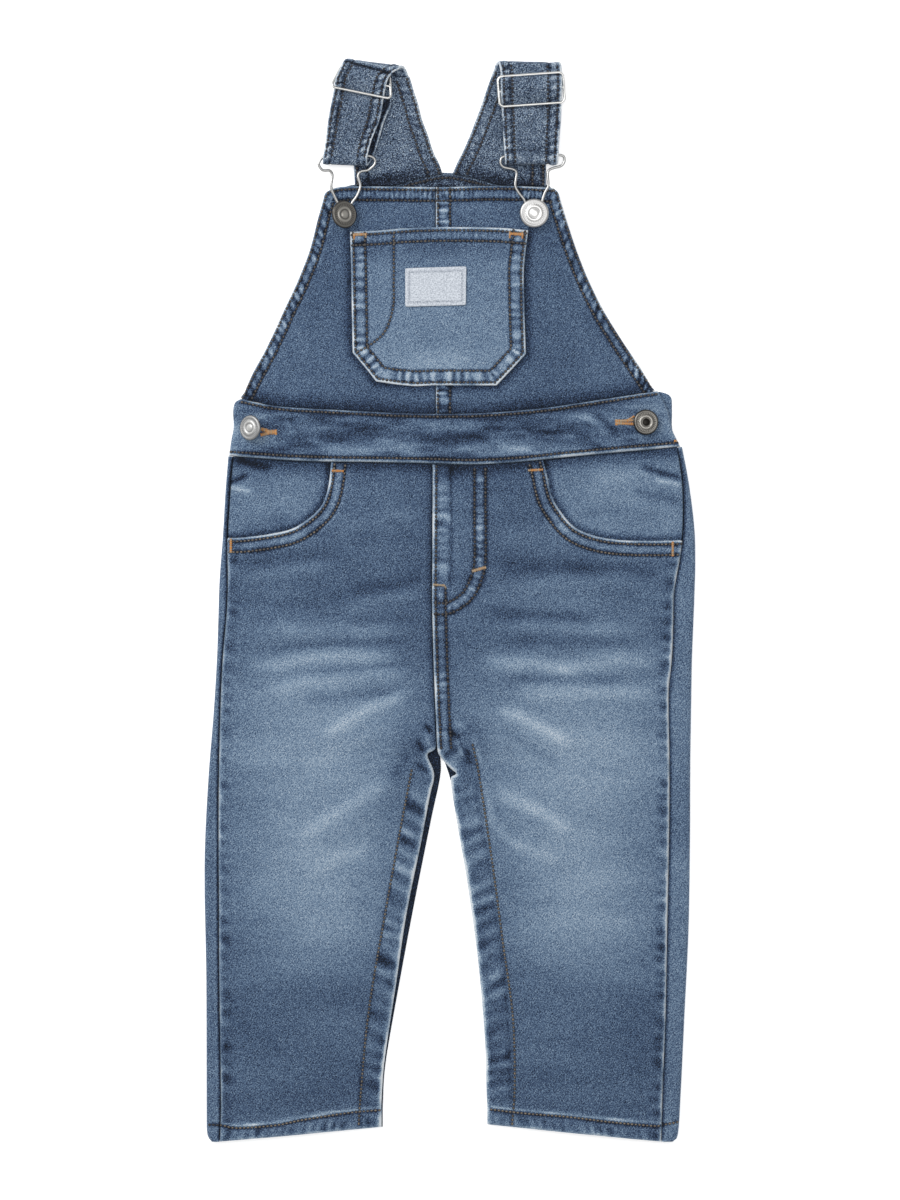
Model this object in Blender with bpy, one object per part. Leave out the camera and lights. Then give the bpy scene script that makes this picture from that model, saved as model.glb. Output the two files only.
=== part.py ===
"""Kids' denim dungarees, laid flat on their back.

Frame: X across the garment, Y from the hems (-) to the shoulders (+), Z up from the surface it lies on.
The origin is at the middle of the outline, on that surface. Tables and sizes are in millimetres.
Left is -X. Each panel is a cloth wall whose four edges come from short tables.
"""

import math

import bmesh
import bpy
from mathutils import Matrix, Vector

MM = 0.001

# Lowest point of the hems
HEM_Y = -302.7

# Cloth and seams
CLOTH = 1.2
HEM_CLOTH = 2.0
HEM_DEPTH = 9.0
BAND_CLOTH = 1.9
STRAP_CLOTH = 1.4
STRAP_BACK_CLOTH = 1.6
BACK_BAND_CLOTH = 1.7
BIB_HEM_CLOTH = 2.0
LABEL_CLOTH = 0.6
SEAM_GAP = 0.3
SIDE_GAP = 0.45

# Heights of the undersides of the layers
BACK_BASE = 0.0
FACING_BASE = 2.2
FRONT_BASE = 3.8
INSEAM_BASE = CLOTH + SEAM_GAP
BAND_BASE = 3.9
BAND_END_BASE = 2.2
BIB_EDGE_BASE = 1.9
SIDE_HEIGHT = 5.0
FRONT_CROWN = 1.1
BIB_CROWN = 1.5
POCKET_LIFT = 0.35

# Where one layer rises or falls to another
BIB_WAIST_Y = 104.0
BIB_WAIST_EASE = 34.0
BIB_TOP_Y = 231.5
BIB_TOP_EASE = 30.0
BIB_HEM_Y = 223.0
BIB_HEM_EASE = 2.0
INSEAM_START_Y = -76.0
INSEAM_EASE = 16.0
BAND_EASE = 0.09

# How far one layer runs under another, or stays clear of a corner
FACING_LAP = 7.0
FACING_LOW_Y = 27.0
BAND_TUCK = 0.45
CORNER_CLEAR = 5.0
YOKE_INSET = 2.5
LEAST_WRAP = 2.2
WRAP_SHARE = 0.85

# Metal
WIRE_RADIUS = 0.8
WIRE_CLEARANCE = 0.3
WEAVE_SLACK = 0.3
REAR_LAYER_Z = STRAP_BACK_CLOTH + SEAM_GAP + STRAP_CLOTH / 2
HOOK_BAR_Z = REAR_LAYER_Z + STRAP_CLOTH / 2 + WIRE_CLEARANCE + WIRE_RADIUS
FRONT_LAYER_Z = HOOK_BAR_Z + WIRE_RADIUS + WIRE_CLEARANCE + STRAP_CLOTH / 2
WEAVE = WIRE_RADIUS + WIRE_CLEARANCE + STRAP_CLOTH / 2 + WEAVE_SLACK
BIB_WIRE_Z = 5.4

# Side seams. Columns: y, x of the seam that shows on the front, x of the outline.
LEFT_SIDE = [
    (80.3, -121.6, -124.0),
    (60.0, -123.3, -125.6),
    (36.0, -124.6, -127.0),
    (12.0, -124.3, -128.8),
    (-8.0, -125.0, -129.5),
    (-32.0, -127.1, -130.3),
    (-62.0, -128.5, -132.1),
    (-98.0, -129.3, -135.0),
    (-136.0, -129.5, -137.0),
    (-165.0, -129.3, -137.2),
    (-212.0, -129.1, -136.3),
    (-280.0, -128.1, -136.1),
    (-298.0, -128.7, -135.8),
    (-302.7, -128.8, -133.5),
]
RIGHT_SIDE = [
    (84.8, 127.5, 129.9),
    (65.8, 130.3, 133.5),
    (41.2, 130.6, 136.6),
    (22.1, 128.5, 137.2),
    (4.8, 125.4, 136.8),
    (-13.2, 124.9, 136.1),
    (-34.0, 124.1, 135.3),
    (-52.0, 122.3, 135.0),
    (-92.0, 122.8, 134.4),
    (-136.0, 122.5, 134.2),
    (-184.5, 121.5, 133.4),
    (-232.7, 120.6, 131.1),
    (-272.4, 119.0, 129.2),
    (-298.0, 118.3, 127.6),
    (-302.7, 118.2, 124.9),
]

# Centre front seam, then the inseam. Columns: y, x of the front panel's edge.
LEFT_INNER = [
    (75.8, -10.1),
    (30.0, -10.3),
    (-1.0, -10.5),
    (-38.0, -9.5),
    (-74.0, -8.1),
    (-83.2, -8.3),
    (-86.5, -12.6),
    (-94.9, -9.4),
    (-100.5, -9.3),
    (-109.5, -12.0),
    (-135.8, -17.9),
    (-176.1, -26.6),
    (-216.4, -32.5),
    (-256.8, -37.2),
    (-280.0, -38.3),
    (-294.8, -38.3),
]
RIGHT_INNER = [
    (75.6, -9.7),
    (30.0, -9.9),
    (-1.0, -10.1),
    (-38.0, -9.1),
    (-74.0, -7.6),
    (-83.5, -6.7),
    (-88.4, -1.7),
    (-93.0, 1.6),
    (-97.8, 2.4),
    (-103.0, 0.9),
    (-111.7, 1.9),
    (-134.1, 5.6),
    (-156.5, 9.5),
    (-201.3, 15.7),
    (-246.1, 19.6),
    (-272.0, 20.4),
    (-293.4, 20.9),
]

# Centre back seam, then the back inseam. Columns: y, x of the back panel's edge.
LEFT_BACK_INNER = [
    (74.8, -8.2),
    (0.0, -7.0),
    (-84.0, -5.6),
    (-98.0, -5.4),
    (-123.0, -10.6),
    (-167.7, -19.6),
    (-212.5, -28.0),
    (-257.3, -35.8),
    (-279.7, -37.5),
    (-294.8, -37.7),
]
RIGHT_BACK_INNER = [
    (73.4, -7.9),
    (0.0, -6.7),
    (-84.0, -5.2),
    (-92.0, -1.9),
    (-100.0, 0.6),
    (-111.7, 2.4),
    (-134.1, 6.1),
    (-156.5, 10.0),
    (-201.3, 16.2),
    (-246.1, 20.1),
    (-272.0, 20.9),
    (-293.4, 21.9),
]

# Pocket mouths, from the waistband to the side seam. Columns: x, y.
LEFT_MOUTH = [
    (-66.4, 76.9),
    (-68.0, 63.6),
    (-71.4, 53.5),
    (-78.1, 46.2),
    (-87.9, 40.0),
    (-100.0, 37.0),
    (-114.8, 35.0),
    (-124.2, 34.7),
]
RIGHT_MOUTH = [
    (52.0, 78.2),
    (54.3, 69.2),
    (56.8, 58.3),
    (61.6, 49.8),
    (68.9, 41.3),
    (78.7, 36.5),
    (92.0, 33.8),
    (110.3, 33.0),
    (130.2, 33.4),
]

# Waistband seams, left to right. Columns: x, y.
BAND_LOW = [
    (-123.6, 80.6),
    (-91.4, 78.3),
    (-67.2, 77.4),
    (-42.8, 77.1),
    (-11.2, 76.5),
    (13.1, 75.8),
    (37.4, 77.1),
    (61.6, 79.6),
    (86.0, 82.0),
    (110.3, 84.1),
    (128.6, 85.8),
]
BAND_TOP = [
    (-117.0, 112.4),
    (-95.9, 108.2),
    (-63.1, 106.2),
    (-30.2, 104.5),
    (-7.3, 104.0),
    (19.0, 104.5),
    (51.9, 107.2),
    (84.7, 112.0),
    (116.0, 116.8),
]
BAND_LEFT_END = [
    (-123.6, 80.6),
    (-122.2, 89.9),
    (-121.0, 97.0),
    (-121.3, 105.6),
    (-120.2, 110.4),
    (-117.0, 112.4),
]
BAND_RIGHT_END = [
    (128.6, 85.8),
    (126.6, 90.0),
    (124.0, 96.0),
    (121.9, 105.5),
    (118.9, 112.3),
    (116.0, 116.8),
]
BACK_BAND_LEFT_END = [
    (-122.4, 80.8),
    (-120.4, 97.0),
    (-120.0, 105.6),
    (-117.6, 110.6),
]
BACK_BAND_RIGHT_END = [
    (128.0, 86.0),
    (124.5, 95.0),
    (124.3, 105.0),
    (124.0, 113.0),
    (121.5, 115.4),
    (117.5, 116.6),
]

# Bib. Columns: x, y.
BIB_LEFT_EDGE = [
    (-115.2, 113.0),
    (-109.8, 125.5),
    (-101.4, 142.5),
    (-93.5, 160.7),
    (-85.1, 178.5),
    (-78.4, 195.8),
    (-73.9, 213.1),
    (-70.8, 224.3),
]
BIB_RIGHT_EDGE = [
    (115.0, 117.2),
    (107.5, 128.1),
    (96.3, 144.9),
    (85.7, 162.2),
    (77.3, 179.2),
    (70.6, 196.0),
    (65.0, 213.1),
    (61.6, 224.3),
]
BIB_LEFT_CORNER = [(-70.8, 224.3), (-69.7, 227.6), (-66.1, 230.0)]
BIB_RIGHT_CORNER = [(61.6, 224.3), (60.5, 227.9), (58.0, 230.4)]
BIB_LEFT_TOP = [(-66.1, 230.0), (-59.4, 231.2), (-46.5, 231.4), (-8.2, 230.9)]
BIB_RIGHT_TOP = [(-7.9, 230.9), (5.6, 231.2), (20.7, 231.6), (39.2, 231.5), (58.0, 230.4)]
BIB_SEAM_X = -8.0

# Bib pocket. Columns: x, y.
POCKET_TOP = [
    (-55.9, 205.7),
    (-40.3, 206.4),
    (-25.9, 207.6),
    (-4.5, 208.3),
    (16.8, 208.2),
    (31.2, 207.7),
    (43.7, 206.6),
]
POCKET_LEFT = [(-55.9, 205.7), (-55.2, 184.5), (-54.9, 163.2), (-54.4, 138.2)]
POCKET_RIGHT = [(43.7, 206.6), (41.3, 184.5), (41.6, 163.2), (42.4, 137.4)]
POCKET_LEFT_CORNER = [(-54.4, 138.2), (-47.5, 130.0), (-41.2, 122.0)]
POCKET_RIGHT_CORNER = [(42.4, 137.4), (34.5, 128.8), (26.0, 119.8)]
POCKET_LOW = [(-41.2, 122.0), (-29.5, 120.3), (-18.8, 119.4), (-8.7, 119.9), (9.9, 119.8), (26.0, 119.8)]
LABEL_CORNERS = [(-24.8, 163.7), (8.6, 164.6), (8.9, 186.2), (-24.8, 185.2)]

# Back panel above the waist: its top edge, and its two corners at the waist. Columns: x, y.
YOKE_TOP = [
    (-62.5, 228.6),
    (-53.0, 231.2),
    (-33.0, 231.2),
    (-18.0, 235.2),
    (-2.8, 237.9),
    (12.0, 235.7),
    (30.8, 231.2),
    (53.0, 231.2),
    (56.8, 229.0),
]
YOKE_LOW_LEFT = (-117.2, 113.4)
YOKE_LOW_RIGHT = (114.6, 117.4)

# Back straps: outer and inner edges from the yoke up to the fold, and the seam on the yoke. Columns: x, y.
LEFT_STRAP_OUTER = [(-53.2, 231.7), (-54.5, 250.0), (-57.0, 275.0), (-59.9, 295.3)]
LEFT_STRAP_INNER = [
    (-4.2, 238.5),
    (-6.2, 244.4),
    (-9.5, 251.2),
    (-12.3, 260.1),
    (-15.7, 269.1),
    (-17.9, 278.0),
    (-20.2, 284.8),
    (-24.4, 291.4),
]
LEFT_STRAP_LOW = [(-53.2, 231.7), (-33.0, 231.7), (-18.0, 235.8), (-4.2, 238.5)]
RIGHT_STRAP_OUTER = [(53.8, 231.7), (54.2, 250.0), (57.5, 275.0), (61.0, 294.6)]
RIGHT_STRAP_INNER = [
    (1.4, 238.4),
    (3.9, 244.4),
    (7.3, 251.2),
    (11.2, 260.1),
    (14.6, 269.1),
    (17.9, 278.0),
    (20.2, 284.8),
    (24.0, 294.9),
]
RIGHT_STRAP_LOW = [(1.4, 238.4), (12.0, 236.3), (30.8, 231.7), (53.8, 231.7)]

# Front straps, from the fold down to the hook and back up under themselves.
# Columns: left x, left y, right x, right y, height of the middle of the cloth.
LEFT_STRAP_PATH = [
    (-60.6, 296.3, -25.4, 292.4, STRAP_CLOTH / 2),
    (-60.0, 299.6, -24.6, 295.8, STRAP_CLOTH / 2 + 0.3),
    (-58.8, 302.0, -24.9, 298.0, 3.1),
    (-60.3, 299.4, -28.8, 296.4, 5.9),
    (-62.0, 295.4, -32.6, 293.6, 6.9),
    (-63.9, 290.9, -35.2, 288.9, 7.0),
    (-64.9, 285.6, -37.0, 280.4, FRONT_LAYER_Z - WEAVE),
    (-65.7, 280.2, -37.8, 275.6, FRONT_LAYER_Z - 0.3),
    (-67.8, 269.1, -39.4, 267.6, FRONT_LAYER_Z),
    (-69.5, 256.2, -44.0, 256.0, FRONT_LAYER_Z),
    (-70.8, 247.4, -46.1, 247.0, FRONT_LAYER_Z),
    (-71.1, 244.2, -45.9, 243.1, HOOK_BAR_Z),
    (-70.8, 247.4, -43.3, 247.0, REAR_LAYER_Z),
    (-69.4, 256.2, -40.4, 255.0, REAR_LAYER_Z),
    (-67.6, 269.1, -36.8, 267.4, REAR_LAYER_Z),
    (-65.6, 279.0, -33.2, 275.6, REAR_LAYER_Z),
    (-64.9, 283.2, -32.6, 280.4, REAR_LAYER_Z),
]
RIGHT_STRAP_PATH = [
    (25.4, 296.0, 62.2, 295.6, STRAP_CLOTH / 2),
    (25.8, 299.0, 62.2, 298.4, STRAP_CLOTH / 2 + 0.2),
    (26.6, 300.9, 62.2, 299.9, 2.6),
    (27.3, 299.4, 62.4, 298.6, 4.3),
    (28.2, 295.4, 62.6, 295.4, FRONT_LAYER_Z - WEAVE),
    (28.3, 286.4, 62.6, 286.4, FRONT_LAYER_Z + WEAVE),
    (28.6, 277.3, 62.4, 277.3, FRONT_LAYER_Z - WEAVE),
    (29.2, 271.0, 62.2, 271.0, FRONT_LAYER_Z - 0.3),
    (29.8, 258.0, 61.2, 258.0, FRONT_LAYER_Z),
    (30.6, 247.4, 60.6, 247.4, FRONT_LAYER_Z),
    (30.8, 243.8, 60.5, 244.2, HOOK_BAR_Z),
    (30.6, 247.4, 60.6, 247.4, REAR_LAYER_Z),
    (29.8, 258.0, 61.2, 258.0, REAR_LAYER_Z),
    (29.2, 271.0, 62.0, 271.0, REAR_LAYER_Z),
    (28.6, 281.0, 62.2, 281.0, REAR_LAYER_Z),
]

# Sliders. Columns: name, middle x, y, z, width between side bars, height, turn, pitch in degrees.
SLIDERS = [
    ("slider_left", -48.4, 289.9, 4.8, 34.4, 14.2, -11.5, -14.0),
    ("slider_right", 45.5, 286.4, FRONT_LAYER_Z, 36.8, 18.2, 0.0, 0.0),
]
SLIDER_CORNER = 2.6

# Hooks: closed wires, from the bar in the strap down round the button's neck and back. Columns: x, y, z.
LEFT_HOOK = [
    (-58.0, 247.9, HOOK_BAR_Z),
    (-69.6, 247.9, HOOK_BAR_Z),
    (-73.3, 243.9, HOOK_BAR_Z),
    (-71.3, 240.2, HOOK_BAR_Z),
    (-67.4, 239.9, HOOK_BAR_Z + 0.2),
    (-65.7, 237.2, HOOK_BAR_Z + 0.5),
    (-66.3, 230.4, BIB_WIRE_Z),
    (-63.7, 223.9, BIB_WIRE_Z),
    (-62.6, 220.8, BIB_WIRE_Z),
    (-64.8, 214.6, BIB_WIRE_Z),
    (-60.4, 209.8, BIB_WIRE_Z),
    (-54.9, 214.6, BIB_WIRE_Z),
    (-55.3, 220.6, BIB_WIRE_Z),
    (-51.9, 226.0, BIB_WIRE_Z),
    (-50.0, 231.4, BIB_WIRE_Z),
    (-51.3, 236.8, HOOK_BAR_Z + 0.5),
    (-49.8, 239.4, HOOK_BAR_Z + 0.2),
    (-45.4, 240.4, HOOK_BAR_Z),
    (-41.8, 244.4, HOOK_BAR_Z),
    (-44.8, 248.0, HOOK_BAR_Z),
]
RIGHT_HOOK = [
    (46.0, 248.0, HOOK_BAR_Z),
    (31.0, 248.0, HOOK_BAR_Z),
    (28.2, 245.0, HOOK_BAR_Z),
    (29.7, 242.0, HOOK_BAR_Z),
    (35.3, 240.6, HOOK_BAR_Z + 0.2),
    (37.2, 238.5, HOOK_BAR_Z + 0.4),
    (36.4, 231.6, BIB_WIRE_Z),
    (38.2, 227.7, BIB_WIRE_Z),
    (41.9, 222.4, BIB_WIRE_Z),
    (42.4, 215.0, BIB_WIRE_Z),
    (46.8, 210.8, BIB_WIRE_Z),
    (51.2, 215.0, BIB_WIRE_Z),
    (51.4, 222.3, BIB_WIRE_Z),
    (53.0, 227.6, BIB_WIRE_Z),
    (54.9, 231.6, BIB_WIRE_Z),
    (54.8, 239.1, HOOK_BAR_Z + 0.4),
    (57.4, 241.2, HOOK_BAR_Z + 0.2),
    (62.3, 242.7, HOOK_BAR_Z),
    (64.0, 246.0, HOOK_BAR_Z),
    (61.4, 248.6, HOOK_BAR_Z),
]

# Tack buttons. Columns: name, x, y, underside of the cap, cap radius, lean about Y in degrees, foot height.
BUTTONS = [
    ("bib_button_left", -59.2, 214.9, 9.1, 7.7, 28.0, 4.3),
    ("bib_button_right", 47.0, 215.9, 6.5, 8.1, 0.0, 4.3),
    ("side_button_left", -112.8, 96.0, 8.4, 7.0, -33.0, 6.0),
    ("side_button_right", 109.2, 99.2, 7.0, 7.1, 8.0, 5.6),
]
CAP_THICKNESS = 1.9
STEM_RADIUS = 1.9

# Largest soft folds in the front layer. Columns: from x, y, to x, y, half width, rise (+) or dip (-).
FOLDS = [
    (-112.0, -14.0, -30.0, -30.0, 7.0, 0.5),
    (-110.0, -40.0, -35.0, -28.0, 6.0, -0.4),
    (-20.0, -92.0, -78.0, -140.0, 8.0, 0.6),
    (-24.0, -74.0, -92.0, -98.0, 7.0, -0.4),
    (-26.0, -120.0, -84.0, -168.0, 8.0, -0.4),
    (112.0, -16.0, 24.0, -34.0, 7.0, 0.5),
    (110.0, -44.0, 20.0, -24.0, 6.0, -0.4),
    (14.0, -94.0, 68.0, -142.0, 8.0, 0.6),
    (16.0, -72.0, 84.0, -96.0, 7.0, -0.4),
    (24.0, -122.0, 78.0, -170.0, 8.0, -0.4),
]

# How finely the panels are divided
CURVE_STEPS = 12
LEG_COLUMNS = 11
SEAM_POINTS = 33
MOUTH_ROWS = 8
LEG_ROWS = 24
HEM_ROWS = 3
BACK_ROWS = 30
BACK_COLUMNS = 4
BEND_STEPS = 5
FACING_COLUMNS = 8
FACING_ROWS = 7
FRONT_BAND_COLUMNS = 27
FRONT_BAND_ROWS = 5
BACK_BAND_COLUMNS = 16
BACK_BAND_ROWS = 6
BIB_COLUMNS = 9
BIB_EDGE_ROWS = 14
CORNER_ROWS = 3
POCKET_ROWS = 7
LABEL_COLUMNS = 6
LABEL_ROWS = 5
YOKE_COLUMNS = 17
YOKE_ROWS = 10
STRAP_STEPS = 3
STRAP_COLUMNS = 3
BACK_STRAP_COLUMNS = 6
BACK_STRAP_ROWS = 9
CORNER_STEPS = 4
WIRE_SIDES = 8
HOOK_STEPS = 44
BUTTON_SIDES = 18

SIGN = {"left": -1, "right": 1}
SIDES = {"left": LEFT_SIDE, "right": RIGHT_SIDE}
MOUTHS = {"left": LEFT_MOUTH, "right": RIGHT_MOUTH}
FRONT_INNER = {"left": LEFT_INNER, "right": RIGHT_INNER}
BACK_INNER = {"left": LEFT_BACK_INNER, "right": RIGHT_BACK_INNER}

COLOURS = {
    "denim": (0.105, 0.175, 0.290),
    "denim_inside": (0.030, 0.045, 0.085),
    "label_cloth": (0.62, 0.62, 0.60),
    "nickel": (0.62, 0.61, 0.59),
}


def curve(points, substeps, closed=False):
    """A smooth curve through the points (Catmull-Rom), with the same number of steps in each span."""
    points = [Vector(point) for point in points]
    if closed:
        path = [points[-1], *points, points[0], points[1]]
    else:
        path = [2 * points[0] - points[1], *points, 2 * points[-1] - points[-2]]
    found = []
    for before, start, end, after in zip(path, path[1:], path[2:], path[3:]):
        for step in range(substeps):
            t = step / substeps
            bend = (2 * before - 5 * start + 4 * end - after) * t**2
            twist = (3 * start - before - 3 * end + after) * t**3
            found.append(0.5 * (2 * start + (end - before) * t + bend + twist))
    return [*found, path[-2]]


def smooth(points, count, closed=False):
    """Even steps along a smooth curve through the points."""
    fine = curve(points, CURVE_STEPS, closed)
    return even(fine, count + 1)[:-1] if closed else even(fine, count)


def even(points, count):
    """The points of a chain, spaced evenly along its length."""
    lengths = [0.0]
    for start, end in zip(points, points[1:]):
        lengths.append(lengths[-1] + (end - start).length)
    found = []
    piece = 0
    for step in range(count):
        distance = lengths[-1] * step / (count - 1)
        while piece < len(points) - 2 and lengths[piece + 1] < distance:
            piece += 1
        part = (distance - lengths[piece]) / (lengths[piece + 1] - lengths[piece])
        found.append(points[piece].lerp(points[piece + 1], min(max(part, 0.0), 1.0)))
    return found


def chain(*parts):
    """One edge from curves that meet end to end, each (points, count)."""
    edge = []
    for points, count in parts:
        edge += smooth(points, count)[1 if edge else 0 :]
    return edge


def steps(start, end, count):
    """Even numbers from start to end."""
    return [start + (end - start) * i / (count - 1) for i in range(count)]


def moved(points, x=0.0, y=0.0):
    return [(point[0] + x, point[1] + y) for point in points]


def table_at(table, y):
    """The columns of a table whose first column is y, read smoothly at one y."""
    rows = sorted(table)
    index = min(max(sum(row[0] <= y for row in rows) - 1, 0), len(rows) - 2)
    low, high = rows[index], rows[index + 1]
    before, after = rows[max(index - 1, 0)], rows[min(index + 2, len(rows) - 1)]
    span = high[0] - low[0]
    t = min(max((y - low[0]) / span, 0.0), 1.0)
    values = []
    for column in range(1, len(low)):
        slope_low = (high[column] - before[column]) / (high[0] - before[0])
        slope_high = (after[column] - low[column]) / (after[0] - low[0])
        values.append(
            (2 * t**3 - 3 * t**2 + 1) * low[column]
            + (t**3 - 2 * t**2 + t) * span * slope_low
            + (3 * t**2 - 2 * t**3) * high[column]
            + (t**3 - t**2) * span * slope_high
        )
    return values


def ease(t):
    """0 to 1 with soft ends."""
    t = min(max(t, 0.0), 1.0)
    return t * t * (3 - 2 * t)


def fold_height(x, y):
    """How far the soft folds lift or lower the front layer at a point."""
    total = 0.0
    for x0, y0, x1, y1, width, rise in FOLDS:
        along = Vector((x1 - x0, y1 - y0))
        offset = Vector((x - x0, y - y0))
        t = offset.dot(along) / along.length_squared
        across = abs(offset.cross(along)) / along.length
        total += rise * math.exp(-((across / width) ** 2)) * ease(4 * t) * ease(4 * (1 - t))
    return total


def paint(obj, colour, roughness, metallic=0.0):
    material = bpy.data.materials.new(obj.name)
    material.use_nodes = True
    shader = material.node_tree.nodes["Principled BSDF"]
    shader.inputs["Base Color"].default_value = (*COLOURS[colour], 1.0)
    shader.inputs["Roughness"].default_value = roughness
    shader.inputs["Metallic"].default_value = metallic
    obj.data.materials.append(material)


def object_from(name, mesh_builder, colour="denim", roughness=0.85, metallic=0.0):
    """A named object from a bmesh in millimetres."""
    mesh = bpy.data.meshes.new(name)
    bmesh.ops.scale(mesh_builder, vec=(MM, MM, MM), verts=mesh_builder.verts)
    bmesh.ops.recalc_face_normals(mesh_builder, faces=mesh_builder.faces)
    mesh_builder.to_mesh(mesh)
    mesh_builder.free()
    obj = bpy.data.objects.new(name, mesh)
    bpy.context.scene.collection.objects.link(obj)
    paint(obj, colour, roughness, metallic)
    return obj


def grid_of(rows, cloth=None):
    """A bmesh grid whose points are rows of 3-D points, each with its wall thickness if given."""
    builder = bmesh.new()
    layer = builder.verts.layers.float.new("cloth")
    across, up = len(rows[0]) - 1, len(rows) - 1
    bmesh.ops.create_grid(builder, x_segments=across, y_segments=up, size=0.5)
    for vert in builder.verts:
        column = round((vert.co.x + 0.5) * across)
        row = round((vert.co.y + 0.5) * up)
        vert.co = rows[row][column]
        if cloth:
            vert[layer] = cloth[row][column]
    return builder, layer


def coons(low, high, left, right):
    """Rows of points in the plane that fill the space between four edges."""
    rows = []
    for j in range(len(left)):
        v = j / (len(left) - 1)
        row = []
        for i in range(len(low)):
            u = i / (len(low) - 1)
            between = low[i].lerp(high[i], v) + left[j].lerp(right[j], u)
            row.append((between - low[0].lerp(low[-1], u).lerp(high[0].lerp(high[-1], u), v), u, v))
        rows.append(row)
    return rows


def panel(name, low, high, left, right, base, cloth=CLOTH, colour="denim"):
    """A cloth wall between four edges. base(x, y, u, v) is the height of its underside, and
    cloth its thickness, a number or a function of the same four values."""
    points, thickness = [], []
    for row in coons(low, high, left, right):
        points.append([Vector((p.x, p.y, base(p.x, p.y, u, v))) for p, u, v in row])
        thickness.append([cloth(p.x, p.y, u, v) if callable(cloth) else cloth for p, u, v in row])
    builder, layer = grid_of(points, thickness)
    extruded = bmesh.ops.extrude_face_region(builder, geom=builder.faces[:])["geom"]
    for vert in extruded:
        if isinstance(vert, bmesh.types.BMVert):
            vert.co.z += vert[layer]
    return object_from(name, builder, colour)


def wall(name, rows, thickness, offset, colour="denim"):
    """A wall made from a sheet that bends round, thickened inwards (offset -1) or to both sides (0)."""
    obj = object_from(name, grid_of(rows)[0], colour)
    solidify = obj.modifiers.new("Cloth thickness", "SOLIDIFY")
    solidify.thickness = thickness * MM
    solidify.offset = offset
    solidify.use_even_offset = True
    return obj


def tube(name, points, radius):
    """A closed ring of round wire through the points."""
    wire = bpy.data.curves.new(name, "CURVE")
    wire.dimensions = "3D"
    wire.bevel_depth = radius * MM
    wire.bevel_resolution = WIRE_SIDES // 2 - 2
    spline = wire.splines.new("POLY")
    spline.points.add(len(points) - 1)
    for place, point in zip(spline.points, points):
        place.co = (*(point * MM), 1.0)
    spline.use_cyclic_u = True
    obj = bpy.data.objects.new(name, wire)
    bpy.context.scene.collection.objects.link(obj)
    paint(obj, "nickel", 0.35, 1.0)
    return obj


def leg_front(side):
    """One front leg. Its outer edge is the pocket mouth and then the side seam."""
    sign, sides, mouth, inner = SIGN[side], SIDES[side], MOUTHS[side], FRONT_INNER[side]
    heights = steps(mouth[-1][1], HEM_Y + HEM_DEPTH, SEAM_POINTS)
    seam = [(table_at(sides, y)[0] - sign * SIDE_GAP, y) for y in heights]
    hem_side = [seam[-1], (table_at(sides, HEM_Y)[0] - sign * SIDE_GAP, HEM_Y)]
    inner = [(x, y) for y, x in inner]
    hem_inner = [(inner[-1][0], inner[-1][1] + HEM_DEPTH), inner[-1]]
    outer_edge = chain((mouth[:-1] + seam[:1], MOUTH_ROWS), (seam, LEG_ROWS), (hem_side, HEM_ROWS))
    inseam = inner[2:-1] + hem_inner[:1]
    inner_edge = chain((inner[:3], MOUTH_ROWS), (inseam, LEG_ROWS), (hem_inner, HEM_ROWS))
    left_edge, right_edge = (outer_edge, inner_edge) if side == "left" else (inner_edge, outer_edge)
    waist = smooth(under_band(left_edge[0], right_edge[0]), LEG_COLUMNS)
    hem = smooth([left_edge[-1], right_edge[-1]], LEG_COLUMNS)
    panel(f"leg_front_{side}", waist, hem, left_edge, right_edge, leg_front_base(side), leg_cloth)


def leg_front_base(side):
    """Underside of a front leg: low at the inseam, where it lies on the back, and crowned between."""

    def base(x, y, u, v):
        across = u if side == "left" else 1 - u
        on_back = ease((INSEAM_START_Y - y) / INSEAM_EASE)
        inner = FRONT_BASE + (INSEAM_BASE - FRONT_BASE) * on_back
        crown = FRONT_CROWN * math.sin(math.pi * across)
        return FRONT_BASE + (inner - FRONT_BASE) * ease(across) ** 2 + crown + fold_height(x, y)

    return base


def leg_cloth(x, y, u, v):
    """The hem is turned up and doubled along its last rows."""
    rows_left = (1 - v) * (MOUTH_ROWS + LEG_ROWS + HEM_ROWS - 3)
    return HEM_CLOTH if rows_left < HEM_ROWS - 1.5 else CLOTH


def under_band(left, right):
    """The front band's lower seam between two points, just below it."""
    low, high = left[0] + CORNER_CLEAR, right[0] - CORNER_CLEAR
    between = [(x, y - BAND_TUCK) for x, y in BAND_LOW if low < x < high]
    return [left[:2], *between, right[:2]]


def leg_back(side):
    """One back leg: flat on the surface, then round the side to the seam on the front."""
    sign, sides = SIGN[side], SIDES[side]
    inner = smooth([(x, y) for y, x in BACK_INNER[side]], BACK_ROWS)
    half = SIDE_HEIGHT / 2
    rows = []
    for inside, y in zip(inner, steps(sides[0][0] - 4 * SEAM_GAP, HEM_Y, BACK_ROWS)):
        seam, edge = table_at(sides, y)
        seam = sign * min(sign * seam, sign * edge - LEAST_WRAP)
        bend = min(half, WRAP_SHARE * abs(edge - seam))
        start = Vector((edge - sign * bend, y))
        row = [inside.lerp(start, i / BACK_COLUMNS).to_3d() for i in range(BACK_COLUMNS)]
        for angle in steps(0.0, math.pi, BEND_STEPS + 1):
            row.append(Vector((start.x + sign * bend * math.sin(angle), y, half - half * math.cos(angle))))
        row.append(Vector((seam, y, SIDE_HEIGHT)))
        rows.append(row)
    wall(f"leg_back_{side}", rows, CLOTH, -1)


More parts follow.
